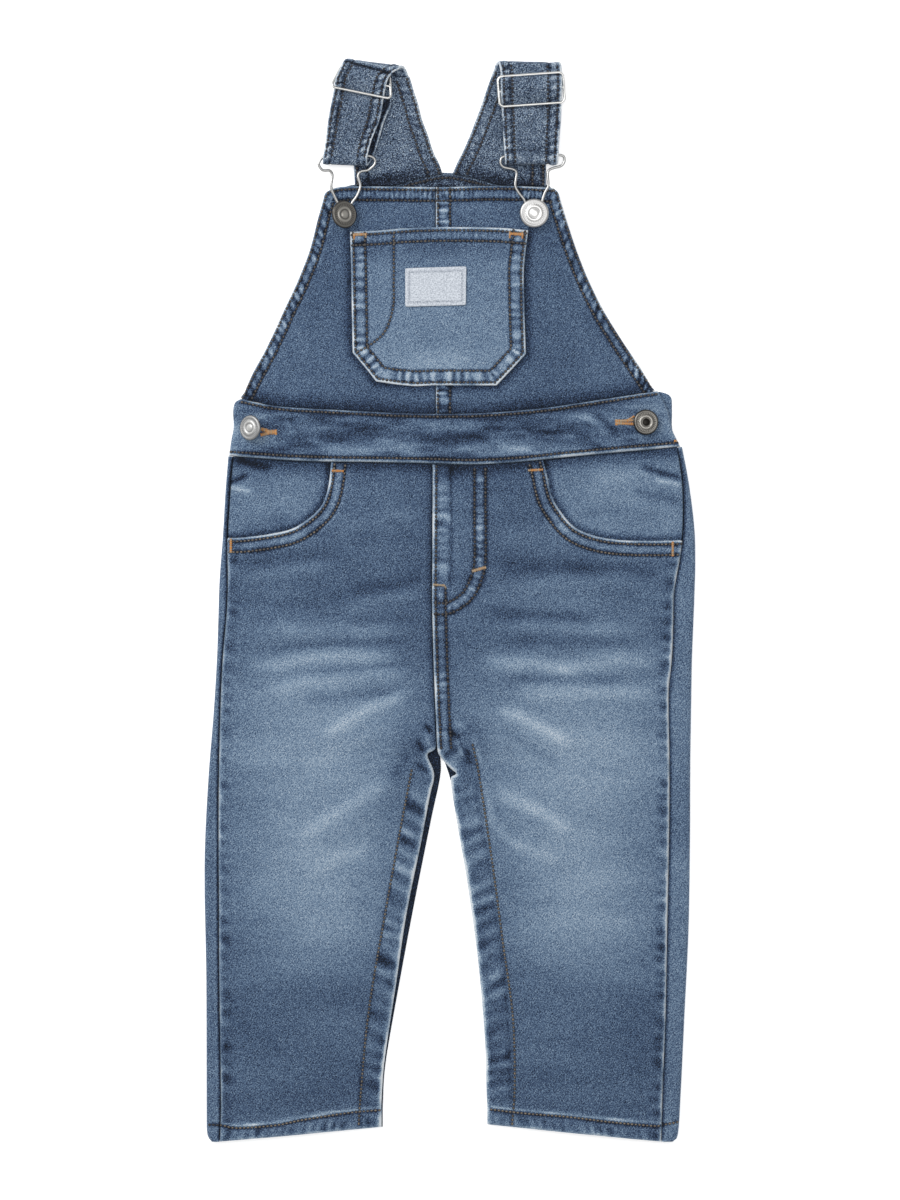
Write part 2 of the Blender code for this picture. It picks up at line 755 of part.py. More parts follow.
def pocket_facing(side):
    """The layer seen inside a pocket mouth. It runs on a little way under the front leg."""
    sign, sides = SIGN[side], SIDES[side]
    inside_x = MOUTHS[side][0][0] - sign * FACING_LAP
    top_y = sides[0][0] - 2 * SEAM_GAP
    heights = steps(FACING_LOW_Y, top_y, FACING_ROWS)
    seam = [(table_at(sides, y)[0] - sign * SEAM_GAP, y) for y in heights]
    inside = [(inside_x, FACING_LOW_Y), (inside_x, MOUTHS[side][0][1] - SEAM_GAP)]
    left_edge, right_edge = (seam, inside) if side == "left" else (inside, seam)
    low = smooth([left_edge[0], right_edge[0]], FACING_COLUMNS)
    high = smooth(under_band(left_edge[-1], right_edge[-1]), FACING_COLUMNS)
    left, right = smooth(left_edge, FACING_ROWS), smooth(right_edge, FACING_ROWS)
    panel(f"pocket_facing_{side}", low, high, left, right, on_back)


def on_back(x, y, u, v):
    """Just clear of the back leg's cloth and its wrap round the side."""
    return FACING_BASE


def band_base(x, y, u, v):
    """The front band rounds down to the back band at both sides."""
    return BAND_END_BASE + (BAND_BASE - BAND_END_BASE) * ease(u / BAND_EASE) * ease((1 - u) / BAND_EASE)


def waistbands():
    low, high = smooth(BAND_LOW, FRONT_BAND_COLUMNS), smooth(BAND_TOP, FRONT_BAND_COLUMNS)
    left, right = smooth(BAND_LEFT_END, FRONT_BAND_ROWS), smooth(BAND_RIGHT_END, FRONT_BAND_ROWS)
    panel("waistband_front", low, high, left, right, band_base, BAND_CLOTH)
    left_end, right_end = BACK_BAND_LEFT_END, BACK_BAND_RIGHT_END
    low = smooth([left_end[0], *BAND_LOW[1:-1], right_end[0]], BACK_BAND_COLUMNS)
    high = smooth([left_end[-1], *BAND_TOP[1:-1], right_end[-1]], BACK_BAND_COLUMNS)
    left, right = smooth(left_end, BACK_BAND_ROWS), smooth(right_end, BACK_BAND_ROWS)
    panel("waistband_back", low, high, left, right, on_surface, BACK_BAND_CLOTH)


def on_surface(x, y, u, v):
    return BACK_BASE


def bib_base(x, y, u, v):
    """Underside of the bib over the whole of it: low along the armholes and the top, crowned between,
    and as high as the band at the waist."""
    waist = ease((BIB_WAIST_Y + BIB_WAIST_EASE - y) / BIB_WAIST_EASE)
    left_x, right_x = bib_width(y)
    across = (x - left_x) / (right_x - left_x)
    crown = BIB_CROWN * math.sin(math.pi * min(max(across, 0.0), 1.0))
    below_top = ease((BIB_TOP_Y - y) / BIB_TOP_EASE)
    inside_edges = ease(across / BAND_EASE) * ease((1 - across) / BAND_EASE)
    waist_rise = (BAND_BASE - SEAM_GAP - BIB_EDGE_BASE) * waist * inside_edges
    return BIB_EDGE_BASE + waist_rise + crown * below_top * (1 - waist)


def bib_width(y):
    """Where the two armhole edges of the bib are at one height."""
    left = table_at([(y, x) for x, y in BIB_LEFT_EDGE], y)[0]
    right = table_at([(y, x) for x, y in BIB_RIGHT_EDGE], y)[0]
    return left, right


def bib():
    seam = [(BIB_SEAM_X, BIB_WAIST_Y + SEAM_GAP), (BIB_SEAM_X, BIB_LEFT_TOP[-1][1])]
    clear_of_seam = [point for point in BAND_TOP if abs(point[0] - BIB_SEAM_X) > CORNER_CLEAR]
    for side, edge, corner, top in (
        ("left", BIB_LEFT_EDGE, BIB_LEFT_CORNER, BIB_LEFT_TOP),
        ("right", BIB_RIGHT_EDGE, BIB_RIGHT_CORNER, BIB_RIGHT_TOP),
    ):
        armhole = chain((edge, BIB_EDGE_ROWS), (corner, CORNER_ROWS))
        middle = smooth(moved(seam, x=SIGN[side] * SEAM_GAP / 2), len(armhole))
        on_side = [point for point in clear_of_seam if (point[0] < BIB_SEAM_X) == (side == "left")]
        waist = moved(on_side, y=SEAM_GAP)
        if side == "left":
            left, right, low = armhole, middle, waist[1:]
        else:
            left, right, low = middle, armhole, waist[:-1]
        low = smooth([left[0], *low, right[0]], BIB_COLUMNS)
        panel(f"bib_{side}", low, smooth(top, BIB_COLUMNS), left, right, bib_base, bib_cloth)


def bib_cloth(x, y, u, v):
    """The bib's top hem is doubled."""
    return CLOTH + (BIB_HEM_CLOTH - CLOTH) * ease((y - BIB_HEM_Y) / BIB_HEM_EASE)


def bib_pocket():
    left = chain((POCKET_LEFT_CORNER[::-1], CORNER_ROWS), (POCKET_LEFT[::-1], POCKET_ROWS))
    right = chain((POCKET_RIGHT_CORNER[::-1], CORNER_ROWS), (POCKET_RIGHT[::-1], POCKET_ROWS))
    low, high = smooth(POCKET_LOW, BIB_COLUMNS), smooth(POCKET_TOP, BIB_COLUMNS)
    panel("bib_pocket", low, high, left, right, pocket_base)
    low_left, low_right, top_right, top_left = LABEL_CORNERS
    low, high = smooth([low_left, low_right], LABEL_COLUMNS), smooth([top_left, top_right], LABEL_COLUMNS)
    left, right = smooth([low_left, top_left], LABEL_ROWS), smooth([low_right, top_right], LABEL_ROWS)
    panel("bib_label", low, high, left, right, label_base, LABEL_CLOTH, "label_cloth")


def pocket_base(x, y, u, v):
    return bib_base(x, y, u, v) + CLOTH + POCKET_LIFT


def label_base(x, y, u, v):
    return pocket_base(x, y, u, v) + CLOTH + SEAM_GAP


def back_yoke():
    """The back panel above the waist. The bib covers all of it but its curved top."""
    left = [YOKE_LOW_LEFT, *moved(BIB_LEFT_EDGE[1:], x=YOKE_INSET), YOKE_TOP[0]]
    right = [YOKE_LOW_RIGHT, *moved(BIB_RIGHT_EDGE[1:], x=-YOKE_INSET), YOKE_TOP[-1]]
    low = [YOKE_LOW_LEFT, *moved(BAND_TOP[1:-1], y=SEAM_GAP), YOKE_LOW_RIGHT]
    low, high = smooth(low, YOKE_COLUMNS), smooth(YOKE_TOP, YOKE_COLUMNS)
    panel("back_yoke", low, high, smooth(left, YOKE_ROWS), smooth(right, YOKE_ROWS), on_surface)


def back_straps():
    for side, outer, inner, low in (
        ("left", LEFT_STRAP_OUTER, LEFT_STRAP_INNER, LEFT_STRAP_LOW),
        ("right", RIGHT_STRAP_OUTER, RIGHT_STRAP_INNER, RIGHT_STRAP_LOW),
    ):
        left, right = (outer, inner) if side == "left" else (inner, outer)
        high = smooth([left[-1], right[-1]], BACK_STRAP_COLUMNS)
        low = smooth(low, BACK_STRAP_COLUMNS)
        left, right = smooth(left, BACK_STRAP_ROWS), smooth(right, BACK_STRAP_ROWS)
        panel(f"strap_back_{side}", low, high, left, right, on_surface, STRAP_BACK_CLOTH, "denim_inside")


def front_strap(name, path):
    """A strap end as one bent wall: over the fold, down to the hook, round its bar and back up."""
    rows = []
    for left_x, left_y, right_x, right_y, z in curve(path, STRAP_STEPS):
        left, right = Vector((left_x, left_y, z)), Vector((right_x, right_y, z))
        rows.append([left.lerp(right, t) for t in steps(0.0, 1.0, STRAP_COLUMNS)])
    wall(name, rows, STRAP_CLOTH, 0)


def slider(name, x, y, z, width, height, turn, pitch):
    """A wire frame with a bar across its middle."""
    corner = SLIDER_CORNER
    outline = []
    for quarter, (side, end) in enumerate(((1, 1), (-1, 1), (-1, -1), (1, -1))):
        middle = Vector((side * (width / 2 - corner), end * (height / 2 - corner), 0))
        for angle in steps(90 * quarter, 90 * (quarter + 1), CORNER_STEPS):
            turned = Matrix.Rotation(math.radians(angle), 3, "Z")
            outline.append(middle + turned @ Vector((corner, 0, 0)))
    place = Matrix.Translation((x, y, z)) @ Matrix.Rotation(math.radians(turn), 4, "Z")
    place = place @ Matrix.Rotation(math.radians(pitch), 4, "X")
    frame = mesh_of(tube(name, [place @ point for point in outline], WIRE_RADIUS))
    bar = bmesh.new()
    ends = dict(radius1=WIRE_RADIUS, radius2=WIRE_RADIUS, cap_ends=True)
    bmesh.ops.create_cone(bar, segments=WIRE_SIDES, depth=width, **ends)
    bmesh.ops.rotate(bar, verts=bar.verts, matrix=Matrix.Rotation(math.pi / 2, 3, "Y"))
    bmesh.ops.transform(bar, verts=bar.verts, matrix=place)
    bar_object = object_from(f"{name}_bar", bar, "nickel", 0.35, 1.0)
    bar_object.hide_render = True
    bar_object.display_type = "WIRE"
    union = frame.modifiers.new("Bar", "BOOLEAN")
    union.operation = "UNION"
    union.object = bar_object


def mesh_of(curve_object):
    """The curve object as a mesh object of the same name."""
    name = curve_object.name
    graph = bpy.context.evaluated_depsgraph_get()
    mesh = bpy.data.meshes.new_from_object(curve_object.evaluated_get(graph))
    bpy.data.objects.remove(curve_object)
    obj = bpy.data.objects.new(name, mesh)
    bpy.context.scene.collection.objects.link(obj)
    return obj


def button(name, x, y, underside, radius, lean, foot):
    """A tack button: a domed cap with a raised ring on a short stem, turned about its axis."""
    top = CAP_THICKNESS
    profile = [
        (0.0, foot + WIRE_CLEARANCE - underside),
        (STEM_RADIUS, foot + WIRE_CLEARANCE - underside),
        (STEM_RADIUS, 0.0),
        (radius - 0.8, 0.0),
        (radius, 0.5),
        (radius, 1.0),
        (radius - 0.9, top - 0.4),
        (0.55 * radius, top - 0.3),
        (0.45 * radius, top),
        (0.36 * radius, top - 0.3),
        (0.25 * radius, top - 0.2),
        (0.0, top),
    ]
    builder = bmesh.new()
    verts = [builder.verts.new((r, 0.0, z)) for r, z in profile]
    for start, end in zip(verts, verts[1:]):
        builder.edges.new((start, end))
    spin = dict(axis=(0, 0, 1), cent=(0, 0, 0), angle=2 * math.pi, steps=BUTTON_SIDES, use_merge=True)
    bmesh.ops.spin(builder, geom=builder.verts[:] + builder.edges[:], **spin)
    bmesh.ops.remove_doubles(builder, verts=builder.verts, dist=1e-4)
    turned = Matrix.Translation((x, y, underside)) @ Matrix.Rotation(math.radians(lean), 4, "Y")
    bmesh.ops.transform(builder, verts=builder.verts, matrix=turned)
    obj = object_from(name, builder, "nickel", 0.35, 1.0)
    obj.data.shade_smooth()


def main():
    for obj in list(bpy.data.objects):
        bpy.data.objects.remove(obj)
    for side in SIGN:
        leg_back(side)
        leg_front(side)
        pocket_facing(side)
    waistbands()
    back_yoke()
    bib()
    bib_pocket()
    back_straps()
    front_strap("strap_front_left", LEFT_STRAP_PATH)
    front_strap("strap_front_right", RIGHT_STRAP_PATH)
    for row in SLIDERS:
        slider(*row)
    tube("hook_left", smooth(LEFT_HOOK, HOOK_STEPS, closed=True), WIRE_RADIUS)
    tube("hook_right", smooth(RIGHT_HOOK, HOOK_STEPS, closed=True), WIRE_RADIUS)
    for row in BUTTONS:
        button(*row)


main()
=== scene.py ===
# %% [markdown]
# # Kids' denim dungarees, laid flat
#
# Dungarees are flat cuts of denim sewn on top of each other: two front legs over two back legs, a
# waistband, a bib with a patch pocket, and straps that end in wire hooks. Each cut is made here as
# its own thin wall of cloth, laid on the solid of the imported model, and finished with the things that
# make denim look like denim: rolled worn edges, puckered seams, topstitching, and a faded wash.
#
# Tables are in millimetres, in the model's own frame. X runs across the garment, Y from the hems to
# the shoulders, and Z up from the surface that it lies on.

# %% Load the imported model
import math
import random

import bmesh
import bpy
import numpy as np
from mathutils import Matrix, Vector
from mathutils.bvhtree import BVHTree


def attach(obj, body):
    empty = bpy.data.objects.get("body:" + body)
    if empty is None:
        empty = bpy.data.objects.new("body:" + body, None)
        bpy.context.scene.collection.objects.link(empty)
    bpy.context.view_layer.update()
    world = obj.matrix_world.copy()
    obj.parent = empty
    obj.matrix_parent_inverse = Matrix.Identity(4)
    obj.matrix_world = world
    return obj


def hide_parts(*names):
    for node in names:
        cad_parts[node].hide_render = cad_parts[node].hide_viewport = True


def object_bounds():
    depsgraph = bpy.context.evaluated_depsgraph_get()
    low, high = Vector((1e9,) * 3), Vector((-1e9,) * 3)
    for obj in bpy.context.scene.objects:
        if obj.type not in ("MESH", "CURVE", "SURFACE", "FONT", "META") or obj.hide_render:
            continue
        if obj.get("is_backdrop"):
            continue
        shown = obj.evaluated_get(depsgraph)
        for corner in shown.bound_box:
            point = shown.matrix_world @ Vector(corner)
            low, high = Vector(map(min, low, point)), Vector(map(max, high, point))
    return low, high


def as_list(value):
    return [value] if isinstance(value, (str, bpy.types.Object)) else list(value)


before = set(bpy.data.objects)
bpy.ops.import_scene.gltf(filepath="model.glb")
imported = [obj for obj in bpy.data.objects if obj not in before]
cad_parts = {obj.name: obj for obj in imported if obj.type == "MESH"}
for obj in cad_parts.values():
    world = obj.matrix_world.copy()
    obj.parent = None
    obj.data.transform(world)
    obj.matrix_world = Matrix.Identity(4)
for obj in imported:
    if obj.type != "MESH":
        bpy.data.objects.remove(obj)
cad_box = [list(corner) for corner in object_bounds()]
MM = 0.001
random.seed(11)
print("nodes in the frame:", len(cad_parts))

# %% [markdown]
# ## Stage, light and camera
#
# The garment lies on a pale floor and is seen straight from above. A large soft light from the upper
# left gives the folds their shading, and a bright even sky fills the shadows. The Standard view keeps
# a colour in the picture close to the colour that a material is given.

# %% Floor, lights and camera
CAMERA_HEIGHT = 2.0
VIEW_HEIGHT = 0.672
SENSOR = 36.0
FLOOR_SIZE = 3.0
FLOOR_DROP = 0.0002
SKY = 0.62
KEY_POWER = 14.0
TOP_POWER = 8.5


def linear(hexadecimal):
    """A colour that Blender's sockets take, from an sRGB hex value such as 56677f."""
    values = [int(hexadecimal[i : i + 2], 16) / 255 for i in (0, 2, 4)]
    return [v / 12.92 if v <= 0.04045 else ((v + 0.055) / 1.055) ** 2.4 for v in values] + [1.0]


def add_node(tree, kind, links=None, **settings):
    """Adds a node. A setting with the name of a socket sets that socket, and links feeds sockets."""
    node = tree.nodes.new(kind)
    for name, value in settings.items():
        if name in node.bl_rna.properties:
            setattr(node, name, value)
        else:
            node.inputs[name].default_value = value
    for name, source in (links or {}).items():
        tree.links.new(source, node.inputs[name])
    return node


def maths(tree, operation, source, value, added=None):
    """The output of a maths node. For MULTIPLY_ADD, added is the output that is added."""
    node = add_node(tree, "ShaderNodeMath", links={0: source}, operation=operation)
    node.inputs[1].default_value = value
    if added:
        tree.links.new(added, node.inputs[2])
    return node.outputs[0]


def ramp(tree, source, stops):
    """The output of a colour ramp with stops of (place, linear colour)."""
    node = add_node(tree, "ShaderNodeValToRGB", links={0: source})
    while len(node.color_ramp.elements) < len(stops):
        node.color_ramp.elements.new(0.5)
    for element, (stop, colour) in zip(node.color_ramp.elements, stops):
        element.position, element.color = stop, colour
    return node.outputs[0]


def new_material(name, **settings):
    """A material, its nodes, and its main shader, whose sockets take the settings."""
    material = bpy.data.materials.new(name)
    material.use_nodes = True
    tree = material.node_tree
    shader = tree.nodes["Principled BSDF"]
    for socket, value in settings.items():
        shader.inputs[socket.replace("_", " ")].default_value = value
    return material, tree, shader


def finished_mesh(name, builder, material):
    """The mesh that a bmesh has built."""
    mesh = bpy.data.meshes.new(name)
    builder.to_mesh(mesh)
    builder.free()
    mesh.materials.append(material)
    return mesh


def add_object(name, data):
    made = bpy.data.objects.new(name, data)
    scene.collection.objects.link(made)
    return made


scene = bpy.context.scene
scene.view_settings.view_transform = "Standard"
world = bpy.data.worlds.new("Even white sky")
world.use_nodes = True
world.node_tree.nodes["Background"].inputs["Color"].default_value = linear("ffffff")
world.node_tree.nodes["Background"].inputs["Strength"].default_value = SKY
scene.world = world

floor_maker = bmesh.new()
bmesh.ops.create_grid(floor_maker, x_segments=1, y_segments=1, size=FLOOR_SIZE / 2)
bmesh.ops.translate(floor_maker, verts=floor_maker.verts, vec=(0, 0, -FLOOR_DROP))
paper, _, _ = new_material(
    "Matt white paper",
    Base_Color=linear("fbfbfb"),
    Roughness=0.9,
    Emission_Color=linear("ffffff"),
    Emission_Strength=0.4,
)
floor = add_object("floor", finished_mesh("floor", floor_maker, paper))
floor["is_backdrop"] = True

for name, place, size, power in (
    ("Key light", (-0.9, 0.9, 1.1), 0.9, KEY_POWER),
    ("Top light", (0.2, 0.1, 1.9), 1.2, TOP_POWER),
):
    lamp = bpy.data.lights.new(name, "AREA")
    lamp.size = size
    lamp.energy = power
    holder = add_object(name, lamp)
    holder.location = place
    holder.rotation_euler = (-Vector(place)).to_track_quat("-Z", "Y").to_euler()

camera_data = bpy.data.cameras.new("Camera")
camera_data.sensor_width = SENSOR
camera_data.lens = SENSOR * CAMERA_HEIGHT / VIEW_HEIGHT
camera = add_object("Camera", camera_data)
camera.location = (0, 0, CAMERA_HEIGHT)
scene.camera = camera
print("camera lens in mm:", round(camera_data.lens, 1))

# %% [markdown]
# ## The cut
#
# These tables are the pattern: where each edge of each cut lies. They repeat the driving dimensions
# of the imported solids, so the cloth made here fits them. "Left" is the -X side.

# %% Cloth, layers and heights
# Thickness of plain and of doubled cloth, where the hems are, and the gaps between cuts
CLOTH = 1.2
HEM_CLOTH = 2.0
HEM_Y = -302.7
HEM_DEPTH = 9.0
BAND_CLOTH = 1.9
STRAP_CLOTH = 1.4
STRAP_BACK_CLOTH = 1.6
BACK_BAND_CLOTH = 1.7
BIB_HEM_CLOTH = 2.0
LABEL_CLOTH = 0.6
SEAM_GAP = 0.3
SIDE_GAP = 0.12

# Heights of the undersides of the layers, of a back leg where it folds at the side, and of crowns
BACK_BASE = 0.0
FACING_BASE = 2.2
FRONT_BASE = 3.8
INSEAM_BASE = CLOTH + SEAM_GAP
BAND_BASE = 3.9
BAND_END_BASE = 2.2
BIB_EDGE_BASE = 1.9
SIDE_HEIGHT = 5.0
FRONT_CROWN = 1.1
BIB_CROWN = 1.5
POCKET_LIFT = 0.35

# Where a layer starts to rise or fall to another, and over what distance
BIB_WAIST_Y = 104.0
BIB_WAIST_EASE = 34.0
BIB_TOP_Y = 231.5
BIB_TOP_EASE = 30.0
BIB_HEM_Y = 223.0
BIB_HEM_EASE = 2.0
INSEAM_START_Y = -76.0
INSEAM_EASE = 16.0
BAND_EASE = 0.09
# How far one cut runs under another or stays clear of it, and where the facings end below
FACING_LAP = 7.0
FACING_LOW_Y = 27.0
BAND_TUCK = 0.45
CORNER_CLEAR = 5.0
YOKE_INSET = 2.5
# How far a back leg is wrapped round the side: at least, and as a share of what shows
LEAST_WRAP = 2.2
WRAP_SHARE = 0.85

# The wire, and heights of the middles of the layers of a front strap that goes round it
WIRE_RADIUS = 0.8
WIRE_CLEARANCE = 0.3
WEAVE_SLACK = 0.3
REAR_LAYER_Z = STRAP_BACK_CLOTH + SEAM_GAP + STRAP_CLOTH / 2
HOOK_BAR_Z = REAR_LAYER_Z + STRAP_CLOTH / 2 + WIRE_CLEARANCE + WIRE_RADIUS
FRONT_LAYER_Z = HOOK_BAR_Z + WIRE_RADIUS + WIRE_CLEARANCE + STRAP_CLOTH / 2
WEAVE = WIRE_RADIUS + WIRE_CLEARANCE + STRAP_CLOTH / 2 + WEAVE_SLACK
BIB_WIRE_Z = 5.4
print("front strap lies at", round(FRONT_LAYER_Z, 2), "mm")

# %% Side seams. Columns: y, x of the seam on the front, x of the outline
LEFT_SIDE = [
    (80.3, -121.6, -124.0), (60.0, -123.3, -125.6), (36.0, -124.6, -127.0), (12.0, -124.3, -128.8),
    (-8.0, -125.0, -129.5), (-32.0, -127.1, -130.3), (-62.0, -128.5, -132.1), (-98.0, -129.3, -135.0),
    (-136.0, -129.5, -137.0), (-165.0, -129.3, -137.2), (-212.0, -129.1, -136.3),
    (-280.0, -128.1, -136.1), (-298.0, -128.7, -135.8), (-302.7, -128.8, -133.5),
]
RIGHT_SIDE = [
    (84.8, 127.5, 129.9), (65.8, 130.3, 133.5), (41.2, 130.6, 136.6), (22.1, 128.5, 137.2),
    (4.8, 125.4, 136.8), (-13.2, 124.9, 136.1), (-34.0, 124.1, 135.3), (-52.0, 122.3, 135.0),
    (-92.0, 122.8, 134.4), (-136.0, 122.5, 134.2), (-184.5, 121.5, 133.4), (-232.7, 120.6, 131.1),
    (-272.4, 119.0, 129.2), (-298.0, 118.3, 127.6), (-302.7, 118.2, 124.9),
]

# %% Centre front seam, then the inseam. Columns: x, y
LEFT_INNER = [
    (-10.1, 75.8), (-10.3, 30.0), (-10.5, -1.0), (-9.5, -38.0), (-8.1, -74.0), (-8.3, -83.2),
    (-12.6, -86.5), (-9.4, -94.9), (-9.0, -100.5), (-11.2, -109.5), (-16.2, -135.8), (-24.4, -176.1),
    (-30.4, -216.4), (-36.5, -256.8), (-38.3, -280.0), (-38.3, -294.8),
]
RIGHT_INNER = [
    (-9.7, 75.6), (-9.9, 30.0), (-10.1, -1.0), (-9.1, -38.0), (-7.9, -66.0), (-7.0, -83.8),
    (-5.2, -87.8), (-2.2, -91.6), (1.0, -94.9), (3.6, -97.2), (0.6, -99.0), (0.6, -102.5),
    (1.9, -111.7), (5.6, -134.1), (9.5, -156.5), (15.7, -201.3), (19.6, -246.1), (20.4, -272.0),
    (20.9, -293.4),
]
LEFT_BACK_INNER = [
    (-8.2, 74.8), (-7.0, 0.0), (-6.0, -60.0), (-5.6, -84.0), (-5.4, -98.0), (-10.6, -123.0),
    (-19.6, -167.7), (-28.0, -212.5), (-35.8, -257.3), (-37.5, -279.7), (-37.7, -294.8),
]
RIGHT_BACK_INNER = [
    (-7.9, 73.4), (-6.7, 0.0), (-5.6, -60.0), (-5.0, -84.0), (-2.8, -91.0), (-0.4, -98.2),
    (1.0, -104.0), (2.4, -111.7), (6.1, -134.1), (10.0, -156.5), (16.2, -201.3), (20.1, -246.1),
    (20.9, -272.0), (21.9, -293.4),
]

# %% Pocket mouths and waistband. Columns: x, y
LEFT_MOUTH = [
    (-66.4, 76.9), (-68.0, 63.6), (-71.4, 53.5), (-78.1, 46.2), (-87.9, 40.0), (-100.0, 37.0),
    (-114.8, 35.0), (-124.2, 34.7),
]
RIGHT_MOUTH = [
    (52.0, 78.2), (54.3, 69.2), (56.8, 58.3), (61.6, 49.8), (68.9, 41.3), (78.7, 36.5), (92.0, 33.8),
    (110.3, 33.0), (130.2, 33.4),
]
BAND_LOW = [
    (-123.6, 80.6), (-91.4, 78.3), (-67.2, 77.4), (-42.8, 77.1), (-11.2, 76.5), (13.1, 75.8),
    (37.4, 77.1), (61.6, 79.6), (86.0, 82.0), (110.3, 84.1), (128.6, 85.8),
]
BAND_TOP = [
    (-117.0, 112.4), (-95.9, 108.2), (-63.1, 106.2), (-30.2, 104.5), (-7.3, 104.0), (19.0, 104.5),
    (51.9, 107.2), (84.7, 112.0), (116.0, 116.8),
]
BAND_LEFT_END = [
    (-123.6, 80.6), (-122.2, 89.9), (-121.0, 97.0), (-121.3, 105.6), (-120.2, 110.4), (-117.0, 112.4),
]
BAND_RIGHT_END = [
    (128.6, 85.8), (126.6, 90.0), (124.0, 96.0), (121.9, 105.5), (118.9, 112.3), (116.0, 116.8),
]
BACK_BAND_LEFT_END = [(-122.4, 80.8), (-120.4, 97.0), (-120.0, 105.6), (-117.6, 110.6)]
BACK_BAND_RIGHT_END = [
    (128.0, 86.0), (124.5, 95.0), (124.3, 105.0), (124.0, 113.0), (121.5, 115.4), (117.5, 116.6),
]

# %% Bib, its pocket and its label. Columns: x, y
BIB_LEFT_EDGE = [
    (-117.3, 112.6), (-110.9, 125.5), (-101.8, 142.5), (-93.5, 160.7), (-85.1, 178.5), (-78.4, 195.8),
    (-73.9, 213.1), (-70.8, 224.3),
]
BIB_RIGHT_EDGE = [
    (115.0, 117.2), (107.5, 128.1), (96.3, 144.9), (85.7, 162.2), (77.3, 179.2), (70.6, 196.0),
    (65.0, 213.1), (61.6, 224.3),
]
BIB_LEFT_CORNER = [(-70.8, 224.3), (-69.7, 227.6), (-66.1, 230.0)]
BIB_RIGHT_CORNER = [(61.6, 224.3), (60.5, 227.9), (58.0, 230.4)]
BIB_LEFT_TOP = [(-66.1, 230.0), (-59.4, 231.2), (-46.5, 231.4), (-8.2, 230.9)]
BIB_RIGHT_TOP = [(-7.9, 230.9), (5.6, 231.2), (20.7, 231.6), (39.2, 231.5), (58.0, 230.4)]
BIB_SEAM_X = -8.0
POCKET_TOP = [
    (-55.9, 205.7), (-40.3, 206.4), (-25.9, 207.6), (-4.5, 208.3), (16.8, 208.2), (31.2, 207.7),
    (43.7, 206.6),
]
POCKET_LEFT = [(-55.9, 205.7), (-55.2, 184.5), (-54.9, 163.2), (-54.4, 138.2)]
POCKET_RIGHT = [(43.7, 206.6), (41.3, 184.5), (41.6, 163.2), (42.4, 137.4)]
POCKET_LEFT_CORNER = [(-54.4, 138.2), (-47.5, 130.0), (-41.2, 122.0)]
POCKET_RIGHT_CORNER = [(42.4, 137.4), (34.5, 128.8), (26.0, 119.8)]
POCKET_LOW = [
    (-41.2, 122.0), (-29.5, 120.3), (-18.8, 119.4), (-8.7, 119.9), (9.9, 119.8), (26.0, 119.8),
]
LABEL_CORNERS = [(-24.8, 163.7), (8.6, 164.6), (8.9, 186.2), (-24.8, 185.2)]

# %% Back panel above the waist and the back straps. Columns: x, y
YOKE_TOP = [
    (-62.5, 228.6), (-53.0, 231.2), (-33.0, 231.2), (-18.0, 235.2), (-2.8, 237.9), (12.0, 235.7),
    (30.8, 231.2), (53.0, 231.2), (56.8, 229.0),
]
YOKE_LOW_LEFT = (-117.2, 113.4)
YOKE_LOW_RIGHT = (114.6, 117.4)
LEFT_STRAP_OUTER = [(-53.2, 231.7), (-54.5, 250.0), (-57.0, 275.0), (-60.2, 296.5)]
LEFT_STRAP_INNER = [
    (-4.2, 238.5), (-6.2, 244.4), (-9.5, 251.2), (-12.3, 260.1), (-15.7, 269.1), (-17.9, 278.0),
    (-20.2, 284.8), (-22.6, 292.8),
]
LEFT_STRAP_LOW = [(-53.2, 231.7), (-33.0, 231.7), (-18.0, 235.8), (-4.2, 238.5)]
RIGHT_STRAP_OUTER = [(53.8, 231.7), (54.2, 250.0), (57.5, 275.0), (61.2, 295.9)]
RIGHT_STRAP_INNER = [
    (1.4, 238.4), (3.9, 244.4), (7.3, 251.2), (11.2, 260.1), (14.6, 269.1), (17.9, 278.0),
    (20.2, 284.8), (24.3, 296.3),
]
RIGHT_STRAP_LOW = [(1.4, 238.4), (12.0, 236.3), (30.8, 231.7), (53.8, 231.7)]

# %% Front straps, over the fold, down to the hook and back up. Columns: left x, y, right x, y, height
LEFT_STRAP_PATH = [
    (-60.6, 296.3, -23.0, 292.5, STRAP_CLOTH / 2),
    (-60.0, 299.6, -24.1, 295.6, STRAP_CLOTH / 2 + 0.3), (-58.8, 302.0, -25.8, 298.1, 3.1),
    (-60.3, 299.4, -28.8, 296.4, 5.9), (-62.0, 295.4, -32.6, 293.6, 6.9),
    (-63.9, 290.9, -35.2, 288.9, 7.0), (-64.9, 285.6, -37.0, 280.4, FRONT_LAYER_Z - WEAVE),
    (-65.7, 280.2, -37.8, 275.6, FRONT_LAYER_Z - 0.3), (-67.8, 269.1, -39.4, 267.6, FRONT_LAYER_Z),
    (-69.5, 256.2, -44.0, 256.0, FRONT_LAYER_Z), (-70.8, 247.4, -46.1, 247.0, FRONT_LAYER_Z),
    (-71.1, 244.2, -45.9, 243.1, HOOK_BAR_Z), (-70.8, 247.4, -43.3, 247.0, REAR_LAYER_Z),
    (-69.4, 256.2, -40.4, 255.0, REAR_LAYER_Z), (-67.6, 269.1, -36.8, 267.4, REAR_LAYER_Z),
    (-65.6, 279.0, -33.2, 275.6, REAR_LAYER_Z), (-64.9, 283.2, -32.6, 280.4, REAR_LAYER_Z),
]
